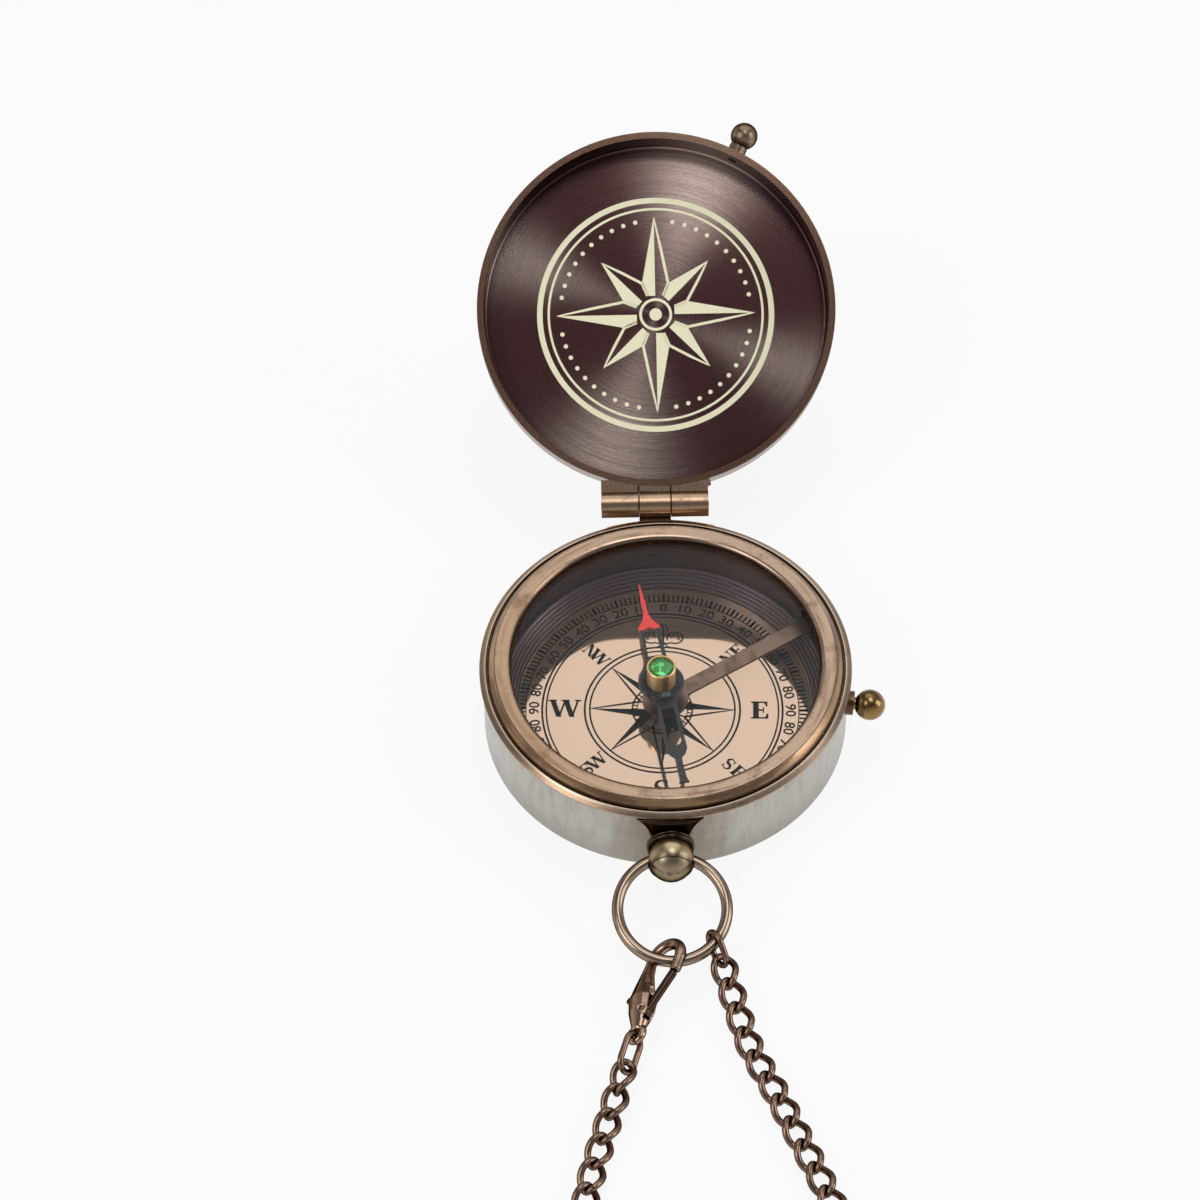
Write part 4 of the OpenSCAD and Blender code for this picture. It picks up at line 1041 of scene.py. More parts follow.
def clothe(piece: Piece, finish: Material, body: str) -> Piece:
    """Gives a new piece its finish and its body."""
    piece.data.materials.append(finish)
    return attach(piece, body)


# Sub-assemblies


class Assembly:
    """A group of pieces that belong together."""

    def build(self) -> list:
        """The new pieces: none, where the solids stay as they are."""
        return []

    def dress(self) -> None:
        """Gives the group's solids their finishes."""


@dataclass
class CaseAndBezel(Assembly):
    """The cup, the bezel and what hides inside them."""

    def dress(self) -> None:
        """Pale grey wall, antique bezel, clear crystal, and plain brass and steel inside."""
        wall = WallMetal(
            "case_wall_metal", tone(186, 183, 175), tone(142, 136, 125),
            rough=0.32, lines=0.25, per_mm=2.0, amount=0.2, size=0.5, depth=0.002,
        )
        dress(wall.make(), "case_body")
        bezel = BezelMetal(
            "bezel_metal", tone(196, 170, 148), tone(112, 86, 68),
            rough=0.26, spread=0.14, lines=0.5, per_mm=6.0, depth=0.003, across=Across.RADIUS,
        )
        dress(bezel.make(), "bezel")
        brass = Metal("inner_brass_metal", tone(184, 150, 98), tone(120, 92, 56), rough=0.35)
        dress(brass.make(), "dial_spacer", "pivot_post", "pendant_stud", "pendant_nut", "lever_bracket")
        steel = Metal("steel_metal", tone(200, 200, 204), tone(120, 120, 124), rough=0.25)
        dress(steel.make(), "pivot_pin", "lever_pin", "lever_spring", "clasp_spring")
        dress(Glass("crystal_clear").make(), "crystal")


@dataclass
class Dial(Assembly):
    """The plate with its print, and the dark stepped ring round it.

    circles are the printed rings, each with its radius and its width. corners are the two-letter points:
    the bearing from +X, the letters' turn, and each letter with its radius.
    """

    face_z: float = 2.7
    centre: tuple = (-0.45, -0.8)
    turn: float = -2.0
    tip_r: float = 10.5
    root: tuple = (3.23, 1.34)
    ray_line: tuple = (0.16, 0.3, 0.34)
    root_line: float = 0.24
    line_end: float = 0.2
    circles: tuple = (
        (10.65, 0.26), (11.4, 0.3), (17.05, 0.24), (17.65, 0.3), (20.05, 0.16), (4.4, 0.24), (3.7, 0.14),
    )
    hub_bars: tuple = (40, 3.75, 4.4, 0.2)
    degrees: tuple = (180, 20.15, 21.3, 0.3)
    tens: tuple = (36, 20.05, 21.4, 0.42)
    figures_r: float = 18.85
    figure_h: float = 1.5
    figure_spread: float = 1.1
    letters_r: float = 14.3
    letter_h: float = 3.1
    corner_h: float = 2.05
    corners: tuple = (
        (45, 45, (("N", 13.5), ("E", 15.5))), (-45, -45, (("S", 13.8), ("E", 15.7))),
        (-135, 45, (("S", 15.4), ("W", 13.4))), (135, -45, (("N", 15.1), ("W", 13.3))),
    )
    lily_y: float = 13.3
    leaf: tuple = (1.75, -0.1)
    leaf_outer: tuple = (1.2, 1.05)
    leaf_inner: tuple = (0.55, 0.48)
    ribs: tuple = (150, 105, 60, 15, -30)

    def star(self, flat: Flat) -> None:
        """Eight points, each with one dark half and one outlined half."""
        along, out = self.root
        corners = np.array([(self.tip_r, 0), (0, 0), (along, -out), (along, out)])
        for k in range(8):
            tip, mid, low, high = corners @ spin(45 * k)
            flat.outline([tip, mid, low] if k % 2 else [tip, high, mid])
            edge = high if k % 2 else low
            flat.band([tip, (tip + edge) / 2, edge], np.array(self.ray_line))
            flat.band([edge, mid + (edge - mid) * self.line_end], self.root_line)

    def ornament(self, flat: Flat) -> None:
        """The traditional lily at north: a middle leaf, two curled side leaves with ribs, and a bar."""
        t = np.linspace(0, 1, 24)
        lily = Flat()
        lily.band([(0, -2.3), (0, 2.2)], 0.3)
        lily.band([(-1.0, -1.15), (1.0, -1.15)], 0.26)
        lily.band(np.stack([0.62 * np.cos(TURN * t), 1.35 + 0.95 * np.sin(TURN * t)], 1), 0.2)

        def curl(side: int, size: tuple, degrees: np.ndarray) -> np.ndarray:
            """Points of a side leaf's ellipse at these angles."""
            a = np.radians(degrees)
            x, y = self.leaf[0] + size[0] * np.cos(a), self.leaf[1] + size[1] * np.sin(a)
            return np.stack([side * x, y], -1)

        for side in (-1, 1):
            lily.band(curl(side, self.leaf_outer, 205 - 330 * t), 0.24)
            lily.band(curl(side, self.leaf_inner, 190 - 240 * t), 0.16)
            for rib in self.ribs:
                lily.band([curl(side, self.leaf_inner, rib), curl(side, self.leaf_outer, rib)], 0.14)
            lily.band([(side * 0.2, -1.2), (side * 0.9, -2.0)], 0.2)
        flat.add(np.concatenate(lily.points) + (0, self.lily_y), lily.faces)

    def build(self) -> list:
        """The whole print as one thin plate of ink on the dial."""
        flat = Flat()
        self.star(flat)
        for radius, width in self.circles:
            flat.ring(radius, width)
        for bars in (self.hub_bars, self.degrees, self.tens):
            flat.bars(*bars)
        for bearing in range(0, 360, 10):
            number = min(bearing % 180, 180 - bearing % 180)
            middle = (0, self.figures_r) @ spin(-bearing)
            flat.words(str(number), self.figure_h, middle, -bearing, self.figure_spread)
        for k, kind in enumerate("ESW"):
            flat.letter(kind, self.letter_h, (self.letters_r, 0) @ spin(-90 * k), 0)
        for bearing, turn, pair in self.corners:
            for kind, radius in pair:
                flat.letter(kind, self.corner_h, (radius, 0) @ spin(bearing), turn)
        self.ornament(flat)
        axes = np.eye(3)
        axes[:2, :2] = spin(self.turn)
        print_plate = flat.plate("dial_print", Lay(np.array([*self.centre, self.face_z]), axes))
        dark = PrintInk("dial_ink", tone(16, 15, 17), tone(34, 31, 33), 0.38, 0.12).make()
        return [clothe(print_plate, dark, "case")]

    def dress(self) -> None:
        """Mirror copper plate and dark ring."""
        dress(MirrorPlate("dial_mirror", tone(212, 184, 160), tone(182, 152, 126)).make(), "dial_plate")
        ring = StepMetal(
            "dial_ring_metal", tone(80, 70, 76), tone(30, 25, 30),
            rough=0.28, spread=0.06, lines=0.16, per_mm=2.5, amount=0.08, size=0.5, depth=0.0,
        )
        dress(ring.make(), "dial_ring", "crystal_retainer")


@dataclass
class Needle(Assembly):
    """The needle, its gilt cup and its cut stone.

    The photo's cup is wider than its bore asks for, so the visible one stands out to the hub's shoulder.
    The stone is rings of points: each has its share of the radius, its height, and its turn in steps.
    """

    pivot: tuple = (-0.6, 0.0)
    bearing: float = 9.0
    red_from: float = 9.75
    stone_r: float = 1.85
    stone_low: float = 11.47
    stone_rings: tuple = ((1.0, 11.47, 0.0), (1.0, 11.80, 0.0), (0.80, 11.95, 0.5), (0.55, 12.06, 0.0))
    middle_r: float = 0.02
    sides: int = 16
    cup_r: float = 2.12
    cup_lip: float = 0.24
    cup_edge: float = 0.06
    cup_web: float = 0.2
    seat_gap: float = 0.02
    bore: tuple = (0.9, 0.85)
    cup_sides: int = 64

    def ring(self, count: int, radius: float, z: float, shift: float = 0.0) -> np.ndarray:
        """Points of a level ring about the pivot."""
        return np.column_stack([rim(count, shift) * radius + self.pivot, np.full(count, z)])

    def cup(self) -> Piece:
        """The turned cup: its outline runs from the bore's roof, out and up, and back to its floor's middle."""
        low, high = (corner[2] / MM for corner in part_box("needle_cap"))
        r, floor, roof = self.cup_r, self.stone_low - self.seat_gap, self.stone_low - self.cup_web
        bore_r, cone = self.bore
        outline = (
            (self.middle_r, roof), (bore_r, roof - cone), (bore_r, low), (r, low), (r, high - self.cup_edge),
            (r - self.cup_edge, high), (r - self.cup_lip, high), (r - self.cup_lip, floor),
            (self.middle_r, floor),
        )
        points = np.concatenate([self.ring(self.cup_sides, *place) for place in outline])
        return mesh_piece("gilt_cup", points, stack_faces(len(outline), self.cup_sides), False)

    def stone(self) -> Piece:
        """The cut stone, its crown and its table joined by triangles."""
        n = self.sides
        rings = [self.ring(n, self.middle_r, self.stone_low)]
        rings += [self.ring(n, share * self.stone_r, z, shift) for share, z, shift in self.stone_rings]
        i, j = np.arange(n), (np.arange(n) + 1) % n
        girdle, crown, table = 2 * n, 3 * n, 4 * n
        corners = (
            (girdle + i, girdle + j, crown + i), (crown + i, girdle + j, crown + j),
            (crown + i, table + j, table + i), (crown + i, crown + j, table + j),
        )
        faces = grid_faces(3, n, False, True).tolist()
        faces += np.concatenate([np.stack(corner, 1) for corner in corners]).tolist()
        faces += [list(range(4 * n, 5 * n)), list(range(n - 1, -1, -1))]
        return mesh_piece("cut_stone", np.concatenate(rings), faces, False)

    def build(self) -> list:
        """The gilt cup, bored for the pin, and the cut stone in it."""
        middle = (*self.pivot, 0)
        gilt = GiltMetal(
            "gilt_metal", tone(240, 186, 112), tone(168, 114, 56), rough=0.24, spread=0.1, lines=0.1,
            per_mm=6.0, amount=0.2, size=1.5, depth=0.0, metallic=0.45, turn=Turn(middle),
        )
        green = CutStone("stone_green", middle, tone(70, 226, 84), tone(0, 92, 20)).make()
        cup = self.cup()
        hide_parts("needle_cap")
        stone = self.stone()
        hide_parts("needle_jewel")
        return [clothe(cup, gilt.make(), "needle"), clothe(stone, green, "needle")]

    def dress(self) -> None:
        """Black lacquer with the red arrow."""
        middle = (*self.pivot, 0)
        colours = tone(16, 19, 22), tone(226, 24, 34)
        black = Lacquer("needle_lacquer", *colours, middle, self.bearing, self.red_from)
        dress(black.make(), "needle_blade", "needle_hub")


@dataclass
class NeedleLock(Assembly):
    """Lever, button and its cup."""

    az: float = 26.6
    button_az: float = -8.7
    button_z: float = 8.0

    def dress(self) -> None:
        """Dull bronze strip, antique brass button."""
        strip = StripMetal(
            "lever_metal", tone(134, 112, 98), tone(84, 66, 54), rough=0.34, spread=0.1, lines=0.3,
            per_mm=8.0, amount=0.6, size=2.2, depth=0.0, turn=Turn(angles=(0, 0, -self.az)),
        )
        dress(strip.make(), "lock_lever")
        turn = Turn((0, 0, self.button_z), (0, -90, -self.button_az))
        knob = Metal(
            "button_brass", tone(150, 122, 80), tone(62, 44, 26),
            rough=0.2, lines=0.15, per_mm=6.0, amount=0.6, size=2.0, turn=turn,
        )
        dress(knob.make(), "lock_button")
        cup = replace(
            knob, name="collar_brass", light=tone(112, 86, 64), dark=tone(48, 32, 22), rough=0.26, lines=0.3,
        )
        dress(cup.make(), "button_collar")


@dataclass
class Lid(Assembly):
    """The lid, its hinge, its knob and the engraving inside it.

    dots are the small spots between the rings: their count round the lid, their radius, the radius that
    they lie on, and how often one pair is left out.
    """

    open_angle: float = 148.0
    floor: float = 5.5
    circles: tuple = ((17.6, 0.85), (16.25, 0.36))
    dots: tuple = (48, 0.34, 14.5, 12)
    star_r: tuple = (15.2, 11.6)
    root_r: float = 5.2
    inner_r: float = 3.1
    line: tuple = (0.2, 0.42)
    tip_cut: float = 0.3
    hub_share: float = 0.74
    spot_r: float = 0.95

    def swing(self) -> np.ndarray:
        """The matrix that opens the closed lid about its pin."""
        matrix = np.eye(3)
        matrix[1:, 1:] = spin(self.open_angle)
        return matrix

    def on_axis(self, height: float) -> np.ndarray:
        """A point on the open lid's middle line, this far over the pin while the lid was closed."""
        pin = np.array([0, *HINGE[1:]])
        return pin + self.swing() @ (np.array([0, 0, HINGE[2] + height]) - pin)

    def lay(self) -> Lay:
        """The lid's inner face, its picture upright when the lid stands open."""
        return Lay(self.on_axis(self.floor), (self.swing() @ np.diag([1, -1, -1])).T)

    def build(self) -> list:
        """A generic compass star in rings, in cream: no words."""
        flat = Flat()
        thin, wide = self.line
        for radius, width in self.circles:
            flat.ring(radius, width)
        count, dot_r, dots_r, skip = self.dots
        for k, place in enumerate(rim(count, 0.5) * dots_r):
            if k % skip not in (0, skip - 1):
                flat.disc(dot_r, 14, place)
        root, hub = (r * rim(16)[1] for r in (self.root_r, self.inner_r))
        low = root * [1, -1]
        for k in range(8):
            tip, turn = self.star_r[k % 2], spin(45 * k)
            flat.outline(np.array([(tip, 0), root, hub, (hub[0], 0)], float) @ turn)
            half_way = ((tip + low[0]) / 2, low[1] / 2)
            flat.band(np.array([(tip - self.tip_cut, 0), half_way, low]) @ turn, np.array([thin, wide, wide]))
            flat.band(np.array([low, hub * [1, -1]]) @ turn, wide)
        flat.ring(self.inner_r * self.hub_share, wide, 64)
        flat.disc(self.spot_r, 32)
        piece = flat.plate("lid_engraving", self.lay())
        cream = PrintInk("cream_filling", tone(255, 252, 220), tone(250, 245, 206), 0.6, 0.2).make()
        return [clothe(piece, cream, "lid")]

    def dress(self) -> None:
        """Dark brushed brown, and antique brass on the hinge and the knob."""
        centre = tuple(self.on_axis(0.0).tolist())
        shell = LidMetal(
            "lid_brown_metal", tone(100, 68, 68), tone(54, 30, 33),
            rough=0.27, spread=0.14, lines=0.7, per_mm=16.0, amount=0.35, size=0.7, depth=0.012,
            turn=Turn(centre, (self.open_angle, 0, 0)), across=Across.RADIUS,
        )
        dress(shell.make(), "lid_shell")
        brass = HingeMetal(
            "hinge_metal", tone(184, 156, 130), tone(112, 88, 70),
            rough=0.26, spread=0.14, lines=0.25, per_mm=4.0, size=1.6, turn=Turn(HINGE, (0, -90, 0)), edge=0.8,
        )
        dress(brass.make(), "lid_hinge_leaf", "case_hinge_leaf", "hinge_pin")
        knob = Metal(
            "lid_knob_brass", tone(150, 130, 110), tone(70, 52, 40),
            lines=0.15, per_mm=6.0, amount=0.6, size=2.0, edge=0.9,
        )
        dress(knob.make(), "lid_knob", "lid_knob_collar")


@dataclass
class PendantAndBow(Assembly):
    """The pendant's turned pieces and the round bow.

    half_width holds the foot's half width low down, and how much of it grows with the height and with the
    height's fourth power. top_loss is the share of the foot's reach that is gone at the top.
    """

    axis: tuple = (0.0, 0.0, 7.2)
    wall_r: float = 26.62
    reach: float = 0.98
    top_loss: float = 0.25
    heights: tuple = (4.6, 11.7)
    half_width: tuple = (2.3, 0.7, 1.75)
    levels: int = 25
    wire_r: float = 0.82
    steps: int = 200
    sides: int = 24

    def foot(self) -> Piece:
        """The pendant's foot as a saddle that widens up to the flange.

        Each level section is the wall's arc, bulged outward by the reach times the root of the cosine across it.
        """
        share = np.linspace(0, 1, self.levels)[:, None]
        across = np.linspace(-1, 1, self.levels)[None, :] * TURN / 4
        low, high = self.heights
        z = low + (high - low) * share
        least, even, late = self.half_width
        x = (least + even * share + late * share**4) * np.sin(across)
        wall = -np.sqrt(self.wall_r**2 - x**2)
        bulge = self.reach * np.sqrt(np.abs(np.cos(across))) * (1 - self.top_loss * share)
        front = np.stack([x, wall - bulge, z + 0 * x], -1)
        back = np.stack([x, wall, z + 0 * x], -1)[:, -2:0:-1]
        rings = np.concatenate([front, back], 1)
        return mesh_piece("pendant_foot", rings.reshape(-1, 3), stack_faces(*rings.shape[:2]))

    def bow(self) -> Piece:
        """The bow's wire, a round ring through three places of the solids' bow."""
        chain = Chain()
        low, side, high = (chain.bow_at(at) for at in (0, 90, 180))
        middle = (low + high) / 2
        u, v = unit(side - middle), unit(low - middle)
        c, s = rim(self.steps).T[:, :, None]
        out = c * u + s * v
        wire = tube_rings(middle + chain.bow_r * out, c * v - s * u, out, self.wire_r, self.sides)
        return mesh_piece("bow_wire", wire.reshape(-1, 3), grid_faces(self.steps, self.sides, True, True))

    def build(self) -> list:
        """The foot on the wall and the bow."""
        foot, bow = self.foot(), self.bow()
        dark = Metal(
            "flare_metal", tone(74, 56, 44), tone(22, 13, 9), per_mm=4.0, size=1.4, depth=0.003, edge=0.8,
        )
        bronze = Metal(
            "bow_bronze", tone(160, 141, 122), tone(90, 74, 60), rough=0.22, spread=0.1, lines=0.1,
            per_mm=3.0, amount=0.35, size=0.8, depth=0.0, edge=0.95,
        )
        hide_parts("bow_ring")
        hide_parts("pendant_flare")
        return [
            clothe(foot, dark.make(), "case"), clothe(bow, bronze.make(), "bow"),
        ]

    def dress(self) -> None:
        """Antique gold ball and cap, dark brown collar."""
        turn = Turn(self.axis, (90, 0, 0))
        ball = BallMetal(
            "pendant_brass", tone(206, 186, 150), tone(80, 62, 42),
            lines=0.5, per_mm=7.0, amount=0.55, size=1.2, depth=0.006, turn=turn, edge=0.9,
        )
        dress(ball.make(), "pendant_ball")
        cap = Metal(
            "pendant_cap_brass", tone(172, 156, 130), tone(98, 82, 62),
            lines=0.5, per_mm=7.0, size=1.2, depth=0.006, turn=turn, edge=0.9,
        )
        dress(cap.make(), "pendant_cap")
        collar = Metal(
            "collar_dark_metal", tone(84, 68, 54), tone(20, 14, 10),
            rough=0.22, lines=0.3, per_mm=6.0, amount=0.6, size=1.6, turn=turn,
        )
        dress(collar.make(), "pendant_collar")


@dataclass
class Chain(Assembly):
    """The curb chain, its two plain links and the lobster clasp: the same named values as the solids.

    ring_link holds its place on the bow, its bearing, its dip and how far it reaches inside the bow's wire.
    clasp holds its length, bearing, rise and roll, its place on the bow, and how far back and to the side it
    sits. clasp_link holds its length, bearing and dip. Angles are in degrees. route holds the chain's places
    in shares of the reach, from the bow's lowest point.
    """

    wire: float = 0.9
    thick: float = 0.98
    link_l: float = 5.8
    link_w: float = 4.0
    reach: float = 70.0
    twist: float = 47.0
    slack: float = 0.08
    low_z: float = 1.2
    first_z: float = 1.7
    last_z: float = 1.5
    first_roll: float = 17.0
    last_roll: float = -29.5
    case_r: float = 26.6
    pendant_z: float = 7.2
    pendant_r: float = 3.4
    pendant_out: float = 3.7
    bore_r: float = 1.25
    bow_r: float = 7.7
    bow_wire_r: float = 0.75
    bow_low_z: float = 3.3
    ring_link: tuple = (49.4, -66.0, 35.0, 0.267)
    clasp: tuple = (12.6, 71.0, 1.3, 40.0, -8.7, 0.27, -0.4)
    clasp_link: tuple = (6.6, -108.5, 6.7)
    shares: tuple = (0, 0.26, 0.44, 0.62, 0.8, 1)
    parts: tuple = ("chain_right", "chain_right_bend", "chain_front_bend", "chain_left_bend", "chain_left")
    route: tuple = (
        (0.121, -0.090), (0.146, -0.182), (0.192, -0.288), (0.235, -0.394), (0.278, -0.502), (0.318, -0.620),
        (0.330, -0.745), (0.285, -0.870), (0.185, -0.960), (0.055, -0.985), (-0.070, -0.935), (-0.155, -0.830),
        (-0.195, -0.705), (-0.192, -0.580), (-0.172, -0.470), (-0.144, -0.374),
    )
    samples: int = 12
    steps: int = 56
    sides: int = 14
    tangent_step: float = 0.01
    voxel: float = 0.1
    fuller: float = 0.12
    ease: tuple = (0.5, 10)

    @staticmethod
    def heading(az: float, dip: float) -> np.ndarray:
        """Unit vector along a direction, dipping below the level."""
        a, d = math.radians(az), math.radians(dip)
        return np.array([math.cos(a) * math.cos(d), math.sin(a) * math.cos(d), -math.sin(d)])

    def bow_at(self, at: float) -> np.ndarray:
        """A point on the middle of the bow's wire, from its lowest point towards +X."""
        half = math.sqrt(self.pendant_r**2 - self.bore_r**2)
        drop = (math.sqrt(self.bow_r**2 - half**2) + self.bow_r) / 2
        tilt = math.asin((self.pendant_z - self.bow_low_z) / (drop + self.bow_r))
        a = math.radians(at)
        d = drop + self.bow_r * math.cos(a)
        y = -(self.case_r + self.pendant_out) - d * math.cos(tilt)
        return np.array([self.bow_r * math.sin(a), y, self.pendant_z - d * math.sin(tilt)])

    def clasp_axes(self) -> tuple:
        """The clasp's eye and its three axes as rows."""
        length, az, rise, roll, at, back, side = self.clasp
        along = self.heading(az, -rise)
        a, turn = math.radians(az), math.radians(roll)
        level = np.array([-math.sin(a), math.cos(a), 0])
        left = level * math.cos(turn) + np.cross(level, along) * math.sin(turn)
        eye = self.bow_at(at) - along * (length - back) - left * side
        return eye, np.stack([along, left, np.cross(along, left)])

    def route_places(self) -> np.ndarray:
        """The places that the chain runs through, from the ring link's far end to the clasp link's."""
        a = self.link_l / 2 - self.wire / 2
        at, az, dip, inside = self.ring_link
        go = self.heading(az, dip)
        start = self.bow_at(at) + go * (2 * a - self.wire - self.bow_wire_r - inside)
        length, az, dip = self.clasp_link
        end = self.clasp_axes()[0] + self.heading(az, dip) * (length - 1.5 * self.wire)
        table = np.array(self.route) * self.reach
        z = np.full(len(table), self.low_z)
        z[0], z[-1] = self.first_z, self.last_z
        return np.vstack([start, np.column_stack([table[:, 0], table[:, 1] + self.bow_at(0)[1], z]), end])

    def route_line(self) -> np.ndarray:
        """The chain's line: a cubic through the route's places, with tangents along the neighbours' chords."""
        p = self.route_places()
        n = len(p) - 1
        i = np.arange(n)
        a, b, c, d = (p[k][:, None] for k in (np.maximum(i - 1, 0), i, i + 1, np.minimum(i + 2, n)))
        t = (np.arange(self.samples) / self.samples)[None, :, None]
        line = 2 * b + (c - a) * t + (2 * a - 5 * b + 4 * c - d) * t**2 + (3 * b - a - 3 * c + d) * t**3
        return np.vstack([line.reshape(-1, 3) / 2, p[-1]])

    def link_frames(self) -> tuple:
        """Middles (n by 3) and axes (n by 3 by 3, as rows) of the twisted links."""
        line = self.route_line()
        run = np.concatenate([[0], np.cumsum(np.linalg.norm(np.diff(line, axis=0), axis=1))])
        r = self.wire / 2
        longest = 2 * (self.link_l / 2 - 2 * r) - self.slack
        count = math.ceil((run[-1] + 2 * r) / longest)
        pitch = (run[-1] + 2 * r) / count
        s = (np.arange(count) + 0.5) * pitch - r

        def at(where: np.ndarray) -> np.ndarray:
            """Points at lengths along the line, run on straight past its ends."""
            i = np.clip(np.searchsorted(run, where, side="right") - 1, 0, len(line) - 2)
            share = ((where - run[i]) / (run[i + 1] - run[i]))[:, None]
            return line[i] + (line[i + 1] - line[i]) * share

        along = unit(at(s + pitch / 2) - at(s - pitch / 2))
        side = unit(np.cross([0, 0, 1], along))
        up = np.cross(along, side)
        i = np.arange(count)
        roll = np.radians(self.first_roll * np.exp(-i) + self.last_roll * np.exp(i + 1.0 - count))[:, None]
        y = side * np.cos(roll) + up * np.sin(roll)
        z = up * np.cos(roll) - side * np.sin(roll)
        return at(s), np.stack([along, y, z], 1)

    def twisted_link(self) -> np.ndarray:
        """One link's rings.

        The wire runs on (a cos t, b sin t cos w, b sin t sin w), with w the twist times cos t.
        """
        a, b = self.link_l / 2 - self.thick / 2, self.link_w / 2 - self.thick / 2
        t = np.linspace(0, TURN, self.steps, endpoint=False)

        def wire(u: np.ndarray) -> np.ndarray:
            """Points of the wire's middle."""
            w = math.radians(self.twist) * np.cos(u)
            return np.stack([a * np.cos(u), b * np.sin(u) * np.cos(w), b * np.sin(u) * np.sin(w)], 1)

        p = wire(t)
        along = unit(wire(t + self.tangent_step) - wire(t - self.tangent_step))
        out = unit(p - np.sum(p * along, 1, keepdims=True) * along)
        return tube_rings(p, along, out, self.thick / 2, self.sides)

    def length_of_links(self, name: str, points: np.ndarray) -> Piece:
        """One object of several links, each of them its own closed tube."""
        size = self.steps * self.sides
        starts = range(0, len(points), size)
        faces = np.concatenate([grid_faces(self.steps, self.sides, True, True, start) for start in starts])
        return mesh_piece(name + "_links", points, faces)

    def build(self) -> list:
        """Five lengths of smooth links in place of the plain ones."""
        middles, axes = self.link_frames()
        one = self.twisted_link().reshape(-1, 3)
        bronze = Metal(
            "chain_bronze_metal", tone(136, 110, 94), tone(64, 46, 38),
            rough=0.24, lines=0.0, per_mm=3.0, size=1.4, depth=0.0, edge=0.95,
        ).make()
        ends = [round(share * len(middles)) for share in self.shares]
        pieces = []
        for name, low, high in zip(self.parts, ends[:-1], ends[1:]):
            points = np.concatenate([placed(one, middles[i], axes[i]) for i in range(low, high)])
            piece = self.length_of_links(name, points)
            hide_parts(name)
            pieces.append(clothe(piece, bronze, "chain"))
        dress(bronze, "ring_link", "clasp_link")
        return pieces

    def dress(self) -> None:
        """Cast bronze for the clasp: its body gets one skin, a little fuller, edges eased, as a casting has."""
        cast = Metal(
            "clasp_bronze_metal", tone(168, 140, 120), tone(66, 46, 38),
            rough=0.2, spread=0.14, lines=0.0, per_mm=3.0, size=1.2, depth=0.002, edge=0.9,
        )
        gate = replace(cast, name="gate_bronze_metal", light=tone(96, 74, 62), dark=tone(34, 22, 18))
        dress(cast.make(), "clasp_body", "clasp_pin")
        dress(gate.make(), "clasp_gate")
        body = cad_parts["clasp_body"]
        skin = body.modifiers.new("one_skin", "REMESH")
        skin.mode, skin.voxel_size, skin.use_smooth_shade = "VOXEL", self.voxel * MM, True
        fuller = body.modifiers.new("fuller", "DISPLACE")
        fuller.strength, fuller.mid_level = self.fuller * MM, 0.0
        ease = body.modifiers.new("eased", "SMOOTH")
        ease.factor, ease.iterations = self.ease


# Studio


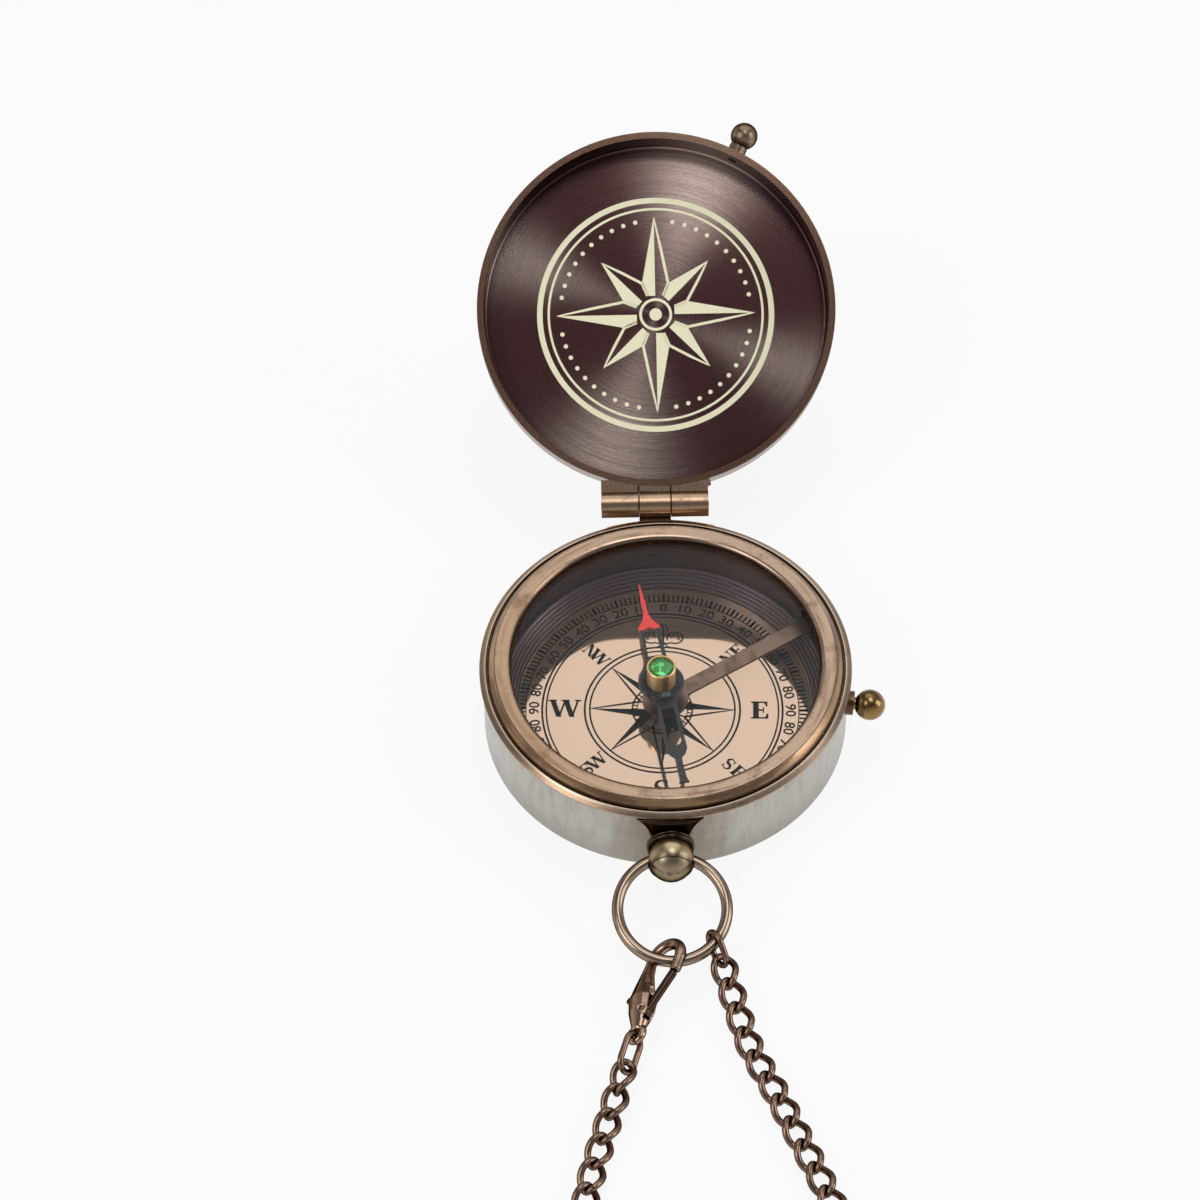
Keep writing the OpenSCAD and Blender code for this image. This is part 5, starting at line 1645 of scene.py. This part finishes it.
@dataclass
class Studio:
    """Floor, lamps, world and camera.

    The camera stands where the photograph's stood: eye in millimetres, and rows its right, up and back. lamps
    holds each lamp's name, its place and its size in metres, and how bright its face is, where 1 is white.
    """

    eye: tuple = (-9.97, -331.12, 452.8)
    rows: tuple = ((0.99982, -0.01568, -0.01071), (0.01895, 0.78844, 0.61482), (-0.0012, -0.61491, 0.7886))
    lens: float = 114.0
    sensor: float = 36.0
    clip: tuple = (0.01, 20)
    floor_half: float = 3000.0
    paper: float = 0.86
    glow_share: float = 0.88
    room: tuple = ((0.62, 0.62, 0.62, 1), (0.17, 0.17, 0.175, 1))
    room_span: tuple = (0.15, 0.75)
    lamps: tuple = (
        ("back_soft", (0.10, 0.56, 0.74), (1.0, 0.62), 1.0), ("top_soft", (0.10, 0.06, 0.95), (0.48, 0.36), 2.9),
        ("left_soft", (-0.62, -0.30, 0.68), (0.4, 0.6), 3.2),
        ("right_soft", (0.80, -0.10, 0.40), (0.4, 0.6), 2.6),
    )

    def camera(self) -> None:
        """The camera."""
        data = bpy.data.cameras.new("view_camera")
        data.lens, data.sensor_width, data.sensor_fit = self.lens, self.sensor, "HORIZONTAL"
        data.clip_start, data.clip_end = self.clip
        camera = bpy.data.objects.new("view_camera", data)
        turn = Matrix(self.rows).transposed().to_4x4()
        camera.matrix_world = Matrix.Translation(Vector(self.eye) * MM) @ turn
        bpy.context.scene.collection.objects.link(camera)
        bpy.context.scene.camera = camera

    def floor(self) -> None:
        """A wide pale floor that keeps the shadow and reads as white."""
        half = self.floor_half
        points = np.array([(-half, -half, 0), (half, -half, 0), (half, half, 0), (-half, half, 0)])
        floor = mesh_piece("floor", points, [[0, 1, 2, 3]], False)
        material, g, shader = new_material("floor_paper")
        g.set(shader, Base_Color=(self.paper, self.paper, self.paper, 1), Roughness=0.9, Specular_IOR_Level=0.0)
        path = g.add("ShaderNodeLightPath")
        seen = g.math("MAXIMUM", path.outputs["Is Camera Ray"], path.outputs["Is Glossy Ray"])
        seen = g.math("MAXIMUM", seen, path.outputs["Is Transmission Ray"])
        glow = g.add("ShaderNodeEmission", {"Color": (1, 1, 1, 1), "Strength": 1.0})
        g.blend(g.times(seen, self.glow_share), shader, glow)
        floor.data.materials.append(material)

    def world(self) -> None:
        """A pale room: white low down, greyer overhead."""
        world = bpy.data.worlds.new("pale_room")
        world.use_nodes = True
        world.node_tree.nodes.clear()
        g = Graph(world.node_tree)
        up = g.parts(g.add("ShaderNodeTexCoord").outputs["Generated"])[2]
        colour = g.mix(g.span(up, *self.room_span), *self.room)
        back = g.add("ShaderNodeBackground", {"Color": colour, "Strength": 1.0})
        out = g.add("ShaderNodeOutputWorld")
        g.feed(out.inputs["Surface"], back.outputs[0])
        bpy.context.scene.world = world

    def lamp(self, name: str, place: tuple, size: tuple, glow: float) -> None:
        """One rectangular soft lamp that points at the middle of the floor.

        Args:
            name: its name.
            place: where it stands, in metres.
            size: its width and height, in metres.
            glow: how bright its face is, where 1 is white; its power is that times pi times its area.
        """
        data = bpy.data.lights.new(name, "AREA")
        data.shape, data.energy = "RECTANGLE", glow * math.pi * size[0] * size[1]
        data.size, data.size_y = size
        lamp = bpy.data.objects.new(name, data)
        lamp.location = place
        lamp.rotation_euler = (-Vector(place)).to_track_quat("-Z", "Y").to_euler()
        bpy.context.scene.collection.objects.link(lamp)

    def build(self) -> None:
        """Camera, floor, world and lamps."""
        self.camera()
        self.floor()
        self.world()
        for lamp in self.lamps:
            self.lamp(*lamp)
        bpy.context.scene.view_settings.view_transform = "Standard"


def main() -> None:
    """Builds and dresses every sub-assembly, then the studio."""
    Studio().build()
    for part in (CaseAndBezel(), Dial(), Needle(), NeedleLock(), Lid(), PendantAndBow(), Chain()):
        for piece in part.build():
            LOG.info("%s: piece %s with %d faces", type(part).__name__, piece.name, len(piece.data.polygons))
        part.dress()
        LOG.info("%s is dressed", type(part).__name__)


if __name__ == "__main__":
    logging.basicConfig(level=logging.INFO, format="%(message)s")
    main()
